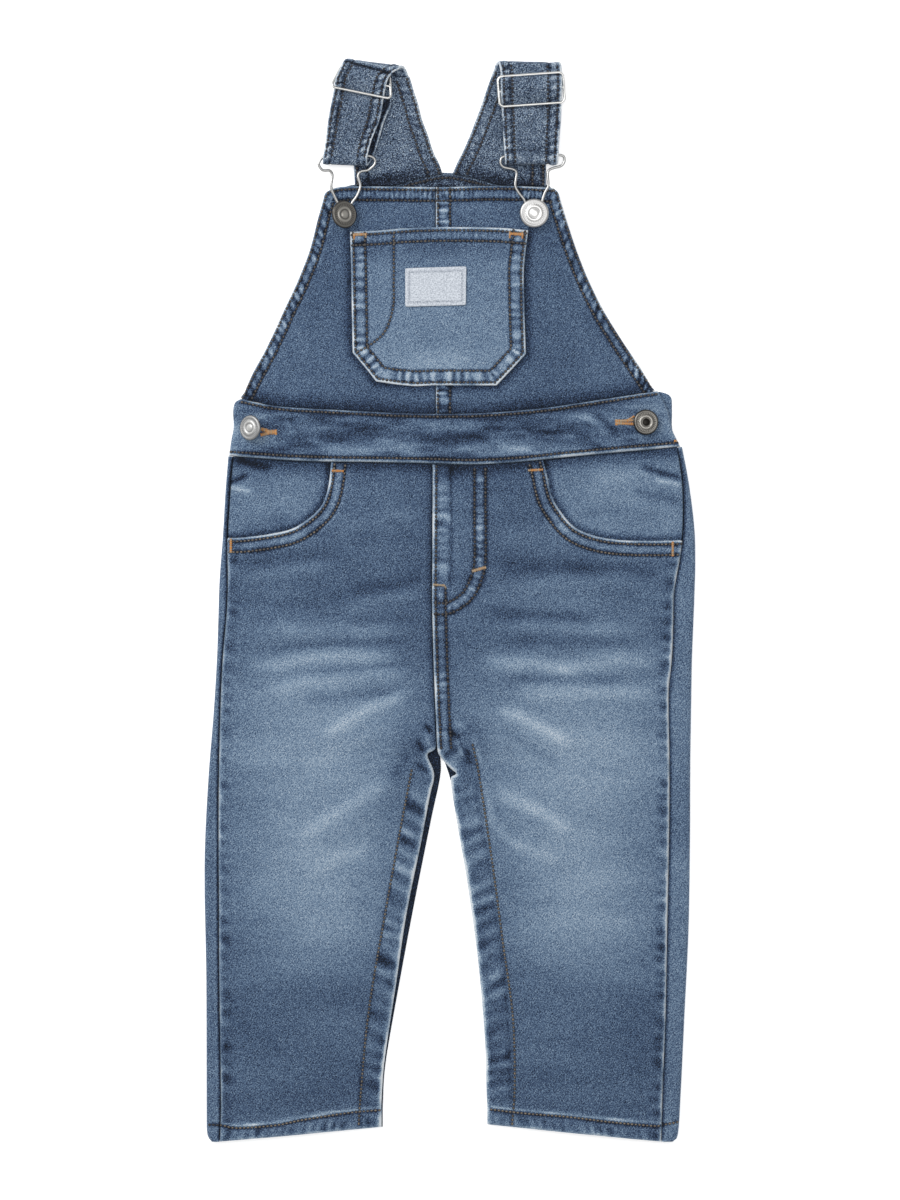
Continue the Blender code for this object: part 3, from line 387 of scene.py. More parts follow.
RIGHT_STRAP_PATH = [
    (24.5, 296.0, 62.2, 295.6, STRAP_CLOTH / 2), (25.2, 299.0, 62.2, 298.4, STRAP_CLOTH / 2 + 0.2),
    (26.6, 300.9, 62.2, 299.9, 2.6), (27.3, 299.4, 62.4, 298.6, 4.3),
    (28.2, 295.4, 62.6, 295.4, FRONT_LAYER_Z - WEAVE),
    (28.3, 286.4, 62.6, 286.4, FRONT_LAYER_Z + WEAVE),
    (28.6, 277.3, 62.4, 277.3, FRONT_LAYER_Z - WEAVE),
    (29.2, 271.0, 62.2, 271.0, FRONT_LAYER_Z - 0.3), (29.8, 258.0, 61.2, 258.0, FRONT_LAYER_Z),
    (30.6, 247.4, 60.6, 247.4, FRONT_LAYER_Z), (30.8, 243.8, 60.5, 244.2, HOOK_BAR_Z),
    (30.6, 247.4, 60.6, 247.4, REAR_LAYER_Z), (29.8, 258.0, 61.2, 258.0, REAR_LAYER_Z),
    (29.2, 271.0, 62.0, 271.0, REAR_LAYER_Z), (28.6, 281.0, 62.2, 281.0, REAR_LAYER_Z),
]

# %% Metal: sliders, hooks and tack buttons
# Sliders: name, middle x, y, z, width between side bars, height, turn, pitch in degrees
SLIDERS = [
    ("slider_left", -48.4, 289.9, 4.8, 34.4, 14.2, -11.5, -14.0),
    ("slider_right", 45.4, 285.0, FRONT_LAYER_Z, 36.4, 16.8, 4.0, 0.0),
]
# How much nearer to the middle each end of a slider's upper bar is than those of its lower bar
SLIDER_TAPER = {"slider_left": 3.7, "slider_right": 0.0}
SLIDER_CORNER = 2.6
# Hooks: x, y, z of the closed wire
LEFT_HOOK = [
    (-58.0, 247.9, HOOK_BAR_Z), (-69.6, 247.9, HOOK_BAR_Z), (-73.3, 243.9, HOOK_BAR_Z),
    (-71.3, 240.2, HOOK_BAR_Z), (-67.4, 239.9, HOOK_BAR_Z + 0.2), (-65.7, 237.2, HOOK_BAR_Z + 0.5),
    (-66.3, 230.4, BIB_WIRE_Z), (-63.7, 223.9, BIB_WIRE_Z), (-62.6, 220.8, BIB_WIRE_Z),
    (-64.8, 214.6, BIB_WIRE_Z), (-60.4, 209.8, BIB_WIRE_Z), (-54.9, 214.6, BIB_WIRE_Z),
    (-55.3, 220.6, BIB_WIRE_Z), (-51.9, 226.0, BIB_WIRE_Z), (-50.0, 231.4, BIB_WIRE_Z),
    (-51.3, 236.8, HOOK_BAR_Z + 0.5), (-49.8, 239.4, HOOK_BAR_Z + 0.2), (-45.4, 240.4, HOOK_BAR_Z),
    (-41.8, 244.4, HOOK_BAR_Z), (-44.8, 248.0, HOOK_BAR_Z),
]
RIGHT_HOOK = [
    (46.0, 248.0, HOOK_BAR_Z), (31.0, 248.0, HOOK_BAR_Z), (28.2, 245.0, HOOK_BAR_Z),
    (29.7, 242.0, HOOK_BAR_Z), (35.3, 240.6, HOOK_BAR_Z + 0.2), (37.2, 238.5, HOOK_BAR_Z + 0.4),
    (36.4, 231.6, BIB_WIRE_Z), (38.2, 227.7, BIB_WIRE_Z), (41.9, 222.4, BIB_WIRE_Z),
    (42.4, 215.0, BIB_WIRE_Z), (46.8, 210.8, BIB_WIRE_Z), (51.2, 215.0, BIB_WIRE_Z),
    (51.4, 222.3, BIB_WIRE_Z), (53.0, 227.6, BIB_WIRE_Z), (54.9, 231.6, BIB_WIRE_Z),
    (54.8, 239.1, HOOK_BAR_Z + 0.4), (57.4, 241.2, HOOK_BAR_Z + 0.2), (62.3, 242.7, HOOK_BAR_Z),
    (64.0, 246.0, HOOK_BAR_Z), (61.4, 248.6, HOOK_BAR_Z),
]
# Buttons: name, x, y, underside of the cap, radius, lean about Y in degrees, foot height
BUTTONS = [
    ("bib_button_left", -59.2, 214.9, 9.1, 7.7, 28.0, 4.3),
    ("bib_button_right", 47.0, 215.9, 6.5, 8.1, 0.0, 4.3),
    ("side_button_left", -111.0, 96.0, 8.4, 7.0, -33.0, 6.0),
    ("side_button_right", 109.2, 99.2, 7.0, 7.1, 8.0, 5.6),
]
CAP_THICKNESS = 1.9
STEM_RADIUS = 1.9

# %% [markdown]
# ## Curves
#
# Every edge is a smooth curve through its few table points. A Catmull-Rom curve passes through each
# point, which a Bezier or B-spline does not do by itself, so the tables can be read as real places on
# the garment.

# %% Curve helpers
CURVE_STEPS = 12
# The random values repeat after this many cells
LATTICE = 97


def curve(points, closed=False):
    """Fine points on a smooth curve through a few points."""
    points = np.array(points, float)
    if closed:
        path = np.vstack([points[-1:], points, points[:2]])
    else:
        path = np.vstack([2 * points[:1] - points[1:2], points, 2 * points[-1:] - points[-2:-1]])
    t = (np.arange(CURVE_STEPS) / CURVE_STEPS)[:, None]
    spans = []
    for before, start, end, after in zip(path, path[1:], path[2:], path[3:]):
        bend = (2 * before - 5 * start + 4 * end - after) * t**2
        twist = (3 * start - before - 3 * end + after) * t**3
        spans.append(0.5 * (2 * start + (end - before) * t + bend + twist))
    return np.vstack([*spans, path[-2:-1]])


def gone_along(line):
    """How far each point of a chain is along it."""
    pieces = np.linalg.norm(np.diff(line, axis=0), axis=1)
    return np.concatenate([[0.0], np.cumsum(pieces)])


def at_shares(line, shares):
    """Points at shares of a chain's length, from 0 to 1."""
    gone = gone_along(line)
    columns = [np.interp(np.asarray(shares) * gone[-1], gone, column) for column in line.T]
    return np.stack(columns, axis=1)


def smooth(points, shares):
    return at_shares(curve(points), shares)


def chained(shares, *parts):
    """One edge of curves that meet end to end. Each part is its points and the share where it ends."""
    line = np.zeros((len(shares), 2))
    start = 0.0
    for points, stop in parts:
        here = (shares >= start - 1e-9) & (shares <= stop + 1e-9)
        line[here] = smooth(points, (shares[here] - start) / (stop - start))
        start = stop
    return line


def ease(t):
    """0 to 1 with soft ends."""
    t = np.clip(t, 0.0, 1.0)
    return t * t * (3 - 2 * t)


def table_at(table, y, column):
    """One column of a table whose first column is y, read smoothly at each y."""
    rows = curve(sorted(table))
    return np.interp(y, rows[:, 0], rows[:, column])


def moved(points, x=0.0, y=0.0):
    return [(point[0] + x, point[1] + y) for point in points]


def offset(line, distance):
    """A chain moved sideways, to the right of its direction, with its corners kept sharp."""
    ways = np.diff(line, axis=0)
    sides = np.stack([ways[:, 1], -ways[:, 0]], axis=1) / np.linalg.norm(ways, axis=1)[:, None]
    before, after = np.vstack([sides[:1], sides]), np.vstack([sides, sides[-1:]])
    return line + distance * (before + after) / (1 + np.sum(before * after, axis=1))[:, None]


def measured(line, x, y):
    """For each point, how far it is from a chain, + on the chain's right, and how far along."""
    best, along = np.full(x.shape, 1e9), np.zeros(x.shape)
    for start, end, begun in zip(line, line[1:], gone_along(line)):
        (dx, dy), (px, py) = end - start, (x - start[0], y - start[1])
        length = math.hypot(dx, dy)
        t = np.clip((px * dx + py * dy) / length**2, 0.0, 1.0)
        away = np.hypot(px - t * dx, py - t * dy)
        nearer = away < np.abs(best)
        best = np.where(nearer, np.copysign(away, px * dy - py * dx), best)
        along = np.where(nearer, begun + t * length, along)
    return best, along


def clouds(x, y, size, seed):
    """Smooth random values from -1 to 1 that change over about size mm."""
    lattice = np.random.default_rng(seed).uniform(-1, 1, (LATTICE, LATTICE))
    i, j = np.floor(x / size).astype(int), np.floor(y / size).astype(int)
    s, t = ease(x / size - i), ease(y / size - j)
    i, j, next_i, next_j = i % LATTICE, j % LATTICE, (i + 1) % LATTICE, (j + 1) % LATTICE
    low = lattice[i, j] * (1 - s) + lattice[next_i, j] * s
    high = lattice[i, next_j] * (1 - s) + lattice[next_i, next_j] * s
    return low * (1 - t) + high * t


print("curve through the left armhole:", len(curve(BIB_LEFT_EDGE)), "points")

# %% [markdown]
# ## Where the seams run
#
# Topstitching, worn ridges and puckers all follow a few paths. Each path is a chain in the plane with
# the sewn side on its right, so a positive offset always leads into the cloth.

# %% Seam paths
PATH_STEP = 3.0


def path_of(points):
    line = curve(points)
    count = max(3, round(gone_along(line)[-1] / PATH_STEP))
    return at_shares(line, np.linspace(0, 1, count))


def seam_of(side_table):
    return [(row[1], row[0]) for row in side_table]


# The share of the centre seam up to which it has a second row of stitches, and points on each part
FLY_SHARE = 0.57
CENTRE_POINTS = 60
FLY_X = 19.8
FLY = [
    (FLY_X, 74.0), (FLY_X, 48.0), (FLY_X, 22.0), (17.9, 12.0), (12.9, 1.4), (5.6, -4.8), (-1.7, -7.8),
    (-9.5, -7.8),
]
PEN_SLOT = [
    (-31.4, 206.0), (-31.4, 175.0), (-31.8, 163.2), (-36.4, 149.8), (-46.0, 141.5), (-52.4, 138.4),
]
PLACKETS = {
    "left": [
        (-21.3, -94.4), (-27.4, -126.3), (-36.4, -176.1), (-45.4, -229.3), (-50.0, -277.5),
        (-51.0, -293.7),
    ],
    "right": [
        (34.7, -293.7), (36.2, -270.0), (35.1, -232.7), (29.7, -192.4), (23.5, -145.9), (16.2, -97.7),
        (12.5, -80.0),
    ],
}
HEMS = {
    "left": [
        (-135.4, -293.2), (-126.6, -293.5), (-118.7, -294.8), (-97.2, -293.2), (-82.9, -290.4),
        (-54.3, -286.4), (-38.4, -285.3),
    ],
    "right": [
        (22.0, -284.8), (42.6, -287.0), (66.1, -288.7), (89.6, -291.5), (113.1, -293.7),
        (117.6, -293.4), (128.0, -291.5),
    ],
}
PATHS = {
    "armhole_left": path_of(BIB_LEFT_EDGE + BIB_LEFT_CORNER[1:]),
    "armhole_right": path_of((BIB_RIGHT_EDGE + BIB_RIGHT_CORNER[1:])[::-1]),
    "bib_top": path_of(BIB_LEFT_TOP[:-1] + BIB_RIGHT_TOP),
    "bib_seam": path_of([(BIB_SEAM_X, BIB_WAIST_Y), (BIB_SEAM_X, 230.9)]),
    "pocket_top": path_of(POCKET_TOP),
    "pen_slot": path_of(PEN_SLOT),
    "band_top": path_of(BAND_TOP),
    "band_low": path_of(BAND_LOW[::-1]),
    "band_left_end": path_of(BAND_LEFT_END),
    "band_right_end": path_of(BAND_RIGHT_END[::-1]),
    "waist": path_of(BAND_LOW),
    "mouth_left": path_of(LEFT_MOUTH[::-1]),
    "mouth_right": path_of(RIGHT_MOUTH),
    "side_left": path_of(seam_of(LEFT_SIDE)[::-1]),
    "side_right": path_of(seam_of(RIGHT_SIDE)),
    "inseam_left": path_of(LEFT_INNER[5:]),
    "inseam_right": path_of(RIGHT_INNER[:4:-1]),
    "centre": path_of(RIGHT_INNER[5::-1]),
    "placket_left": path_of(PLACKETS["left"]),
    "placket_right": path_of(PLACKETS["right"]),
    "hem_left": path_of(HEMS["left"][::-1]),
    "hem_right": path_of(HEMS["right"][::-1]),
    "fly": path_of(FLY),
    "yoke_top": path_of(YOKE_TOP),
    "back_strap_left": path_of(LEFT_STRAP_INNER[::-1]),
    "back_strap_right": path_of(RIGHT_STRAP_INNER),
    "back_strap_outer_left": path_of(LEFT_STRAP_OUTER),
    "back_strap_outer_right": path_of(RIGHT_STRAP_OUTER[::-1]),
    "hem_edge_left": path_of([(-38.3, -294.8), (-128.8, HEM_Y)]),
    "hem_edge_right": path_of([(118.2, HEM_Y), (20.9, -293.4)]),
}
pocket_left_side = [*POCKET_LEFT_CORNER[-2::-1], *POCKET_LEFT[-2::-1]]
pocket_corners = [*POCKET_RIGHT, *POCKET_RIGHT_CORNER[1:], *POCKET_LOW[-2::-1], *pocket_left_side]
PATHS["pocket_edge"] = np.array(pocket_corners)
PATHS["centre_low"] = at_shares(PATHS["centre"], np.linspace(0.0, FLY_SHARE, CENTRE_POINTS))
PATHS["centre_top"] = at_shares(PATHS["centre"], np.linspace(FLY_SHARE, 1.0, CENTRE_POINTS))
print("seam paths:", len(PATHS))

# %% [markdown]
# ## Washing and wear
#
# Denim is dyed on one set of its threads only, so wherever it is rubbed the white cotton core shows.
# How much dye is left is stored on every vertex as one number, wash, from 0 for raw dark denim to 1
# for bare cotton, and painted shade and painted light are added to the same number. Stone washing fades
# the thighs and knees, whiskers fade where the legs crease, and seams fade along their ridges because a
# ridge is what rubs. Dips of creases and puckers, grooves of rows, and the cloth beside the edge of a
# cut on top are painted darker, as painted shade. The same tables also lift the cloth, so the pale
# places and the raised places are the same ones.

# %% How much dye each cut has lost
BASE_WASH = {
    "leg_front": 0.43,
    "leg_back_left": 0.54,
    "leg_back_right": 0.58,
    "pocket_facing_left": 0.53,
    "pocket_facing_right": 0.60,
    "waistband_front": 0.39,
    "waistband_back": 0.55,
    "bib_pocket": 0.58,
    "bib": 0.44,
    "back_yoke": 0.47,
    "strap_back": 0.42,
    "strap_front": 0.46,
}
# The inside of a cut is painted with the darkest dye, as painted shade: it shows as the strip of a back
# leg between the front legs, and it darkens the sides of the cuts
INSIDE_SHADE = 0.0
# Soft lighter and darker patches of each cut: middle x, y, reach in x, reach in y, wash added. The
# lighter ones are faded wash; the darker ones just below the band and about the crotch are painted shade
FADES = {
    "leg_front": [
        (0.0, 40.0, 30.0, 90.0, -0.02),
    ],
    "leg_front_right": [
        (-1.0, 72.0, 9.0, 6.0, -0.16), (70.0, -80.0, 60.0, 60.0, 0.4),
        (74.0, -170.0, 46.0, 40.0, 0.34), (60.0, -60.0, 34.0, 26.0, -0.03),
        (1.0, 38.0, 9.0, 26.0, 0.08), (10.0, -78.0, 12.0, 14.0, -0.14),
    ],
    "leg_front_left": [
        (-76.0, -84.0, 60.0, 58.0, 0.36), (-72.0, -168.0, 46.0, 40.0, 0.32),
        (-20.0, -84.0, 12.0, 13.0, -0.14), (-33.0, -112.0, 10.0, 20.0, -0.06),
        (-98.0, 0.0, 20.0, 10.0, 0.07), (-80.0, -205.0, 40.0, 26.0, 0.03),
        (-80.0, -294.0, 44.0, 8.0, 0.05),
    ],
    "pocket_facing_left": [
        (-100.0, 56.0, 24.0, 16.0, 0.1),
    ],
    "pocket_facing_right": [
        (92.0, 58.0, 28.0, 18.0, 0.1),
    ],
    "bib_pocket": [
        (-5.0, 150.0, 44.0, 26.0, 0.1), (-4.0, 133.0, 30.0, 6.0, 0.16),
        (-5.0, 199.0, 80.0, 8.0, -0.14), (-48.0, 196.0, 8.0, 6.0, -0.12),
    ],
    "bib": [
        (-30.0, 219.0, 40.0, 5.0, 0.02),
    ],
    "waistband_front": [
        (-112.0, 97.0, 16.0, 14.0, 0.12), (-125.0, 94.0, 8.0, 16.0, 0.26),
        (118.0, 100.0, 14.0, 14.0, 0.12), (130.0, 98.0, 9.0, 16.0, 0.26),
        (80.0, 96.0, 24.0, 12.0, 0.08), (70.0, 96.0, 34.0, 14.0, 0.05),
        (-20.0, 92.0, 60.0, 7.0, 0.06),
    ],
    "leg_back_left": [
        (-118.0, -292.0, 30.0, 8.0, 0.04),
    ],
    "strap_back_left": [
        (-42.0, 272.0, 12.0, 18.0, 0.07),
    ],
    "strap_back_right": [
        (38.0, 268.0, 10.0, 16.0, -0.05),
    ],
}
# Whiskers and creases of each cut: from x, y, to x, y, half width, wash added, rise in mm. A pale streak
# on a rise is worn fade with painted light; a dark one in a dip is painted shade
STREAKS = {
    "leg_front_left": [
        (-76.0, 40.0, -11.0, 50.0, 5.8, 0.09, 0.3), (-124.0, 20.0, -54.0, 26.0, 4.1, -0.07, -0.4),
        (-122.0, 13.5, -60.0, 18.5, 3.4, 0.12, 0.35), (-126.0, 4.5, -88.0, -7.0, 4.6, -0.02, -0.35),
        (-100.0, -6.0, -54.0, 4.0, 3.9, -0.06, -0.4), (-62.0, 4.0, -11.0, 13.0, 3.7, -0.12, -0.35),
        (-62.0, -4.0, -11.0, 5.5, 3.7, 0.1, 0.3), (-60.0, -11.5, -12.0, -10.5, 2.8, -0.1, -0.25),
        (-116.0, -18.6, -16.0, -14.0, 4.6, 0.11, 0.35),
        (-108.0, -27.4, -14.0, -21.8, 2.8, -0.11, -0.25),
        (-118.0, -36.4, -24.0, -31.4, 4.6, 0.22, 0.4),
        (-86.0, -42.0, -14.0, -35.0, 2.5, -0.11, -0.25),
        (-112.0, -51.0, -16.0, -38.6, 4.8, 0.17, 0.4),
        (-86.0, -57.5, -19.0, -49.5, 3.0, -0.12, -0.35),
        (-76.0, -76.5, -17.0, -49.0, 3.9, 0.22, 0.45), (-88.0, -98.0, -28.0, -66.0, 4.6, 0.06, 0.25),
        (-92.0, -136.0, -28.0, -98.0, 4.3, 0.15, 0.35),
        (-84.0, -156.0, -40.0, -134.0, 3.7, 0.09, 0.25),
        (-34.0, -104.0, -22.0, -84.0, 3.4, -0.09, -0.3), (-15.0, -69.0, -9.6, -74.5, 1.4, -0.4, -0.4),
        (-12.8, -74.0, -11.6, -82.0, 1.0, 0.26, 0.3), (-18.5, -77.0, -14.0, -85.5, 1.7, -0.28, -0.3),
        (-20.0, -91.0, -12.5, -96.5, 1.7, -0.3, -0.3),
    ],
    "leg_front_right": [
        (-2.0, -73.6, 6.0, -77.5, 1.6, -0.38, -0.4), (1.0, -69.0, 10.5, -72.0, 1.7, 0.18, 0.3),
        (3.0, -78.5, 8.4, -89.0, 0.9, 0.24, 0.3), (8.0, -82.0, 12.5, -93.0, 1.9, -0.26, -0.3),
        (12.0, -73.0, 19.0, -95.0, 1.0, 0.18, 0.25), (22.0, 40.0, 76.0, 34.0, 5.8, 0.06, 0.3),
        (20.0, 22.0, 84.0, 18.0, 4.6, -0.09, -0.3), (22.0, 9.5, 118.0, 12.0, 4.1, 0.1, 0.35),
        (58.0, 20.0, 122.0, 15.0, 3.9, -0.1, -0.3), (14.0, -4.5, 88.0, -12.0, 4.1, -0.13, -0.4),
        (22.0, -13.0, 112.0, -17.5, 3.7, 0.1, 0.35), (20.0, -22.0, 110.0, -25.5, 3.7, -0.12, -0.35),
        (14.0, -32.0, 74.0, -39.0, 4.3, 0.2, 0.4), (52.0, -38.5, 122.0, -33.0, 4.3, 0.16, 0.35),
        (24.0, -44.5, 110.0, -44.0, 2.8, -0.12, -0.3), (30.0, -53.0, 124.0, -51.0, 4.6, 0.15, 0.35),
        (24.0, -57.0, 72.0, -81.0, 3.9, 0.22, 0.45), (26.0, -71.0, 66.0, -95.0, 3.0, -0.08, -0.3),
        (20.0, -102.0, 74.0, -132.0, 4.6, 0.2, 0.4), (18.5, -100.0, 25.0, -128.0, 2.0, 0.14, 0.25),
        (24.0, -126.0, 42.0, -141.0, 2.0, 0.14, 0.25), (34.0, -134.0, 62.0, -148.0, 3.2, 0.09, 0.25),
    ],
    "pocket_facing_left": [
        (-122.0, 80.5, -98.0, 72.5, 2.4, -0.34, -0.3), (-126.0, 64.4, -112.0, 71.0, 1.5, -0.42, -0.4),
        (-130.0, 64.6, -108.0, 60.4, 1.4, 0.34, 0.4), (-120.0, 40.0, -84.0, 46.0, 4.0, -0.08, -0.15),
    ],
    "pocket_facing_right": [
        (132.0, 66.5, 104.0, 76.0, 1.8, -0.38, -0.35), (132.0, 63.0, 112.0, 68.0, 1.4, 0.26, 0.3),
        (132.0, 54.0, 100.0, 62.0, 2.4, -0.16, -0.25), (120.0, 74.0, 76.0, 66.0, 4.0, 0.08, 0.2),
        (124.0, 48.0, 66.0, 50.0, 4.0, -0.06, -0.15),
    ],
    "strap_back_left": [
        (-54.0, 236.5, -22.0, 245.0, 2.2, 0.16, 0.2), (-54.0, 231.5, -18.0, 239.5, 2.4, -0.14, -0.2),
    ],
    "strap_back_right": [
        (52.0, 236.0, 14.0, 243.0, 2.2, 0.1, 0.15), (50.0, 231.0, 10.0, 238.0, 2.4, -0.12, -0.15),
    ],
    "waistband_front": [
        (-106.0, 104.5, -84.0, 99.0, 2.6, -0.14, -0.2), (-104.0, 90.5, -74.0, 87.5, 2.4, -0.16, -0.2),
        (-92.0, 103.0, -87.0, 90.0, 1.6, 0.16, 0.2), (-94.0, 93.5, -48.0, 89.0, 2.2, -0.16, -0.2),
        (-82.0, 85.0, -10.0, 83.0, 3.0, 0.16, 0.25), (-62.0, 94.0, 8.0, 89.0, 2.4, -0.16, -0.2),
        (-80.0, 100.0, 50.0, 98.5, 2.4, 0.08, 0.15), (-8.0, 94.0, 26.0, 89.0, 2.4, -0.16, -0.2),
        (2.0, 85.0, 26.0, 83.5, 2.6, 0.14, 0.2), (24.0, 84.0, 48.0, 86.0, 3.4, 0.18, 0.25),
        (40.0, 95.5, 70.0, 93.0, 2.0, -0.16, -0.2), (64.0, 96.0, 92.0, 81.0, 2.6, -0.14, -0.2),
        (72.0, 105.0, 90.0, 91.5, 1.6, 0.16, 0.2), (79.0, 106.0, 95.0, 93.5, 1.4, -0.14, -0.2),
        (86.0, 94.5, 106.0, 88.5, 1.6, -0.16, -0.2), (90.0, 90.5, 112.0, 92.0, 1.8, 0.14, 0.2),
    ],
}
# Seams: piece, path, rows of stitches, wear of the edge, between the rows and on the ridge beyond them,
# then how strong and how long the puckers are, and their slant. Offsets and lengths are in mm. A
# negative wear between the rows, beside the side seams and the inseams, is painted shade.
SEAMS = [
    ("bib_right", "bib_seam", (1.3, 8.0), 0.95, 0.12, 0.12, 0.28, 4.6, 0.0),
    ("bib_pocket", "pocket_edge", (1.7, 8.2), 1.00, 0.12, 0.14, 0.28, 5.7, 0.0),
    ("bib_pocket", "pocket_top", (1.9, 7.7), 0.90, 0.10, 0.10, 0.14, 2.6, 0.0),
    ("bib_pocket", "pen_slot", (0.0,), 0.0, 0.0, 0.0, 0.0, 1.0, 0.0),
    ("waistband_front", "band_top", (1.6,), 0.58, 0.10, 0.10, 0.10, 4.0, 0.5),
    ("waistband_front", "band_low", (2.3,), 0.92, 0.10, 0.14, 0.09, 4.0, 0.5),
    ("leg_front_left", "mouth_left", (2.0, 8.0), 0.95, 0.22, 0.24, 0.06, 6.0, 0.6),
    ("leg_front_right", "mouth_right", (2.0, 8.0), 0.95, 0.22, 0.24, 0.07, 6.0, 0.6),
    ("leg_front_right", "centre_low", (2.1, 7.7), 1.0, 0.10, 0.08, 0.18, 5.2, 0.0),
    ("leg_front_right", "centre_top", (2.1, 10.4), 1.0, 0.20, 0.02, 0.24, 7.0, 0.0),
    ("leg_front_right", "fly", (0.0, 6.1), 0.0, 0.14, 0.10, 0.24, 4.2, 0.0),
    ("leg_front_left", "side_left", (), 0.55, -0.10, 0.0, 0.14, 9.0, 0.2),
    ("leg_front_right", "side_right", (), 1.10, -0.14, 0.0, 0.18, 9.0, 0.1),
    ("leg_back_left", "side_left", (0.2,), 0.0, 0.0, 0.16, 0.0, 9.0, 0.2),
    ("leg_back_right", "side_right", (0.2,), 0.0, 0.0, 0.04, 0.0, 9.0, 0.2),
    ("leg_front_left", "inseam_left", (12.5,), 1.25, -0.07, 0.05, 0.18, 10.0, 0.3),
    ("leg_front_right", "inseam_right", (13.8,), 1.0, -0.09, 0.05, 0.19, 10.0, -0.3),
    ("back_yoke", "yoke_top", (1.6, 7.0), 0.22, 0.0, 0.05, 0.13, 4.0, 0.0),
]
# Seams that are the same on both sides, but for the way that their puckers lean
for side, lean in (("left", 1), ("right", -1)):
    bib, front, back, strap = (f"{cut}_{side}" for cut in ("bib", "leg_front", "leg_back", "strap_back"))
    SEAMS += [
        (bib, f"armhole_{side}", (1.1, 5.9), 0.85, 0.14, 0.18, 0.34, 5.2, 0.7 * lean),
        (bib, "bib_top", (1.8, 7.7), 0.70, 0.08, 0.10, 0.20, 2.6, 0.0),
        (front, f"hem_edge_{side}", (), 0.55, 0.0, 0.0, 0.17, 5.5, 0.3 * lean),
        (back, f"hem_edge_{side}", (), 0.40, 0.0, 0.0, 0.15, 5.5, 0.3 * lean),
        (front, f"hem_{side}", (0.0,), 0.0, 0.0, 0.75, 0.0, 1.0, 0.0),
        (back, f"hem_{side}", (0.0,), 0.0, 0.0, 0.30, 0.0, 1.0, 0.0),
        (strap, f"back_strap_{side}", (1.7, 7.6), 0.60, 0.06, 0.07, 0.14, 4.4, 0.4),
        (strap, f"back_strap_outer_{side}", (1.7, 7.6), 0.75, 0.04, 0.05, 0.16, 5.0, 0.4),
    ]
# Painted shadows beside the edge of a cut that lies on top: piece, path, side of the path (+ right, -
# left), reach in mm, and how much wash is taken away there as painted shade
PAINTED_SHADOWS = [
    ("bib", "pocket_edge", -1, 3.2, 0.30),
    ("bib", "band_top", -1, 6.0, 0.32),
    ("leg_front", "waist", 1, 5.0, 0.34),
    ("pocket_facing", "waist", 1, 6.0, 0.34),
    ("pocket_facing_left", "mouth_left", -1, 2.6, 0.42),
    ("pocket_facing_right", "mouth_right", -1, 2.6, 0.42),
    ("leg_front_left", "centre", -1, 2.6, 0.18),
    ("back_yoke", "yoke_top", 1, 14.0, 0.10),
    ("back_yoke", "bib_top", -1, 6.0, 0.12),
    ("strap_back", "yoke_top", -1, 6.0, 0.20),
    ("strap_back", "bib_top", -1, 9.0, 0.18),
]
# How deep the stitches of a row pull the cloth in, and how much darker that groove is, which is partly
# dye kept there and partly painted shade
ROW_GROOVE = 0.28
ROW_SHADE = 0.48
# How dark the groove of a row is, kept dye and painted shade, where it bites less or more than on the
# other seams. On the side seams it is all painted shade, in the gap between a front and a back leg
ROW_SHADES = {
    "inseam_left": 0.14,
    "inseam_right": 0.14,
    "hem_left": 0.46,
    "hem_right": 0.46,
    "centre_top": 0.26,
    "pocket_top": 0.36,
    "pen_slot": 0.24,
    "side_left": 0.5,
    "side_right": 0.42,
    "band_top": 0.56,
    "band_low": 0.56,
    "mouth_left": 0.64,
    "mouth_right": 0.64,
    "back_strap_left": 0.18,
    "back_strap_right": 0.18,
}
# How far from the crotch the inseam's stitches start, how wide a seam without stitches is, how much
# its layers lift it, how far beyond its last row the ridge is, and how strong creases are in all
INSEAM_START = 13.0
PLAIN_REACH = 6.0
SEAM_LIFT = 0.18
RIDGE = 1.2
CREASE_SHARE = 1.2
# Where the worn line on an edge is and how wide, and how wide the shade and the groove of a row are
EDGE_LINE, EDGE_REACH = 0.3, 1.1
SHADE_REACH, GROOVE_REACH = 1.15, 1.0
# Mottling of a cut's dye: how wide and how high its patches are in mm, and the wash that they add
MOTTLE = {
    "leg_front": (60.0, 14.0, 0.045),
    "waistband_front": (26.0, 6.0, 0.20),
    "strap": (9.0, 9.0, 0.08),
    "bib_pocket": (14.0, 14.0, 0.03),
    "": (22.0, 22.0, 0.035),
}
# Soft waves in every cut: height and size in mm
WAVES = ((0.12, 21.0), (0.05, 7.0))


def bump(distance, reach):
    return np.exp(-((distance / reach) ** 2))


def beside(x, y, x0, y0, x1, y1):
    """How far places are along a line, as a share of it, and how far to its right, in mm."""
    length = math.hypot(x1 - x0, y1 - y0)
    along = ((x - x0) * (x1 - x0) + (y - y0) * (y1 - y0)) / length**2
    return along, ((x - x0) * (y1 - y0) - (y - y0) * (x1 - x0)) / length


def faded_ends(along):
    """1 along the middle half of a line, and down to 0 at its ends."""
    return ease(4 * along) * ease(4 * (1 - along))


def rows_for(name, table):
    """The rows of a table for one cut. Its keys are names of cuts, or how such names begin."""
    return [row for piece, rows in table.items() if name.startswith(piece) for row in rows]


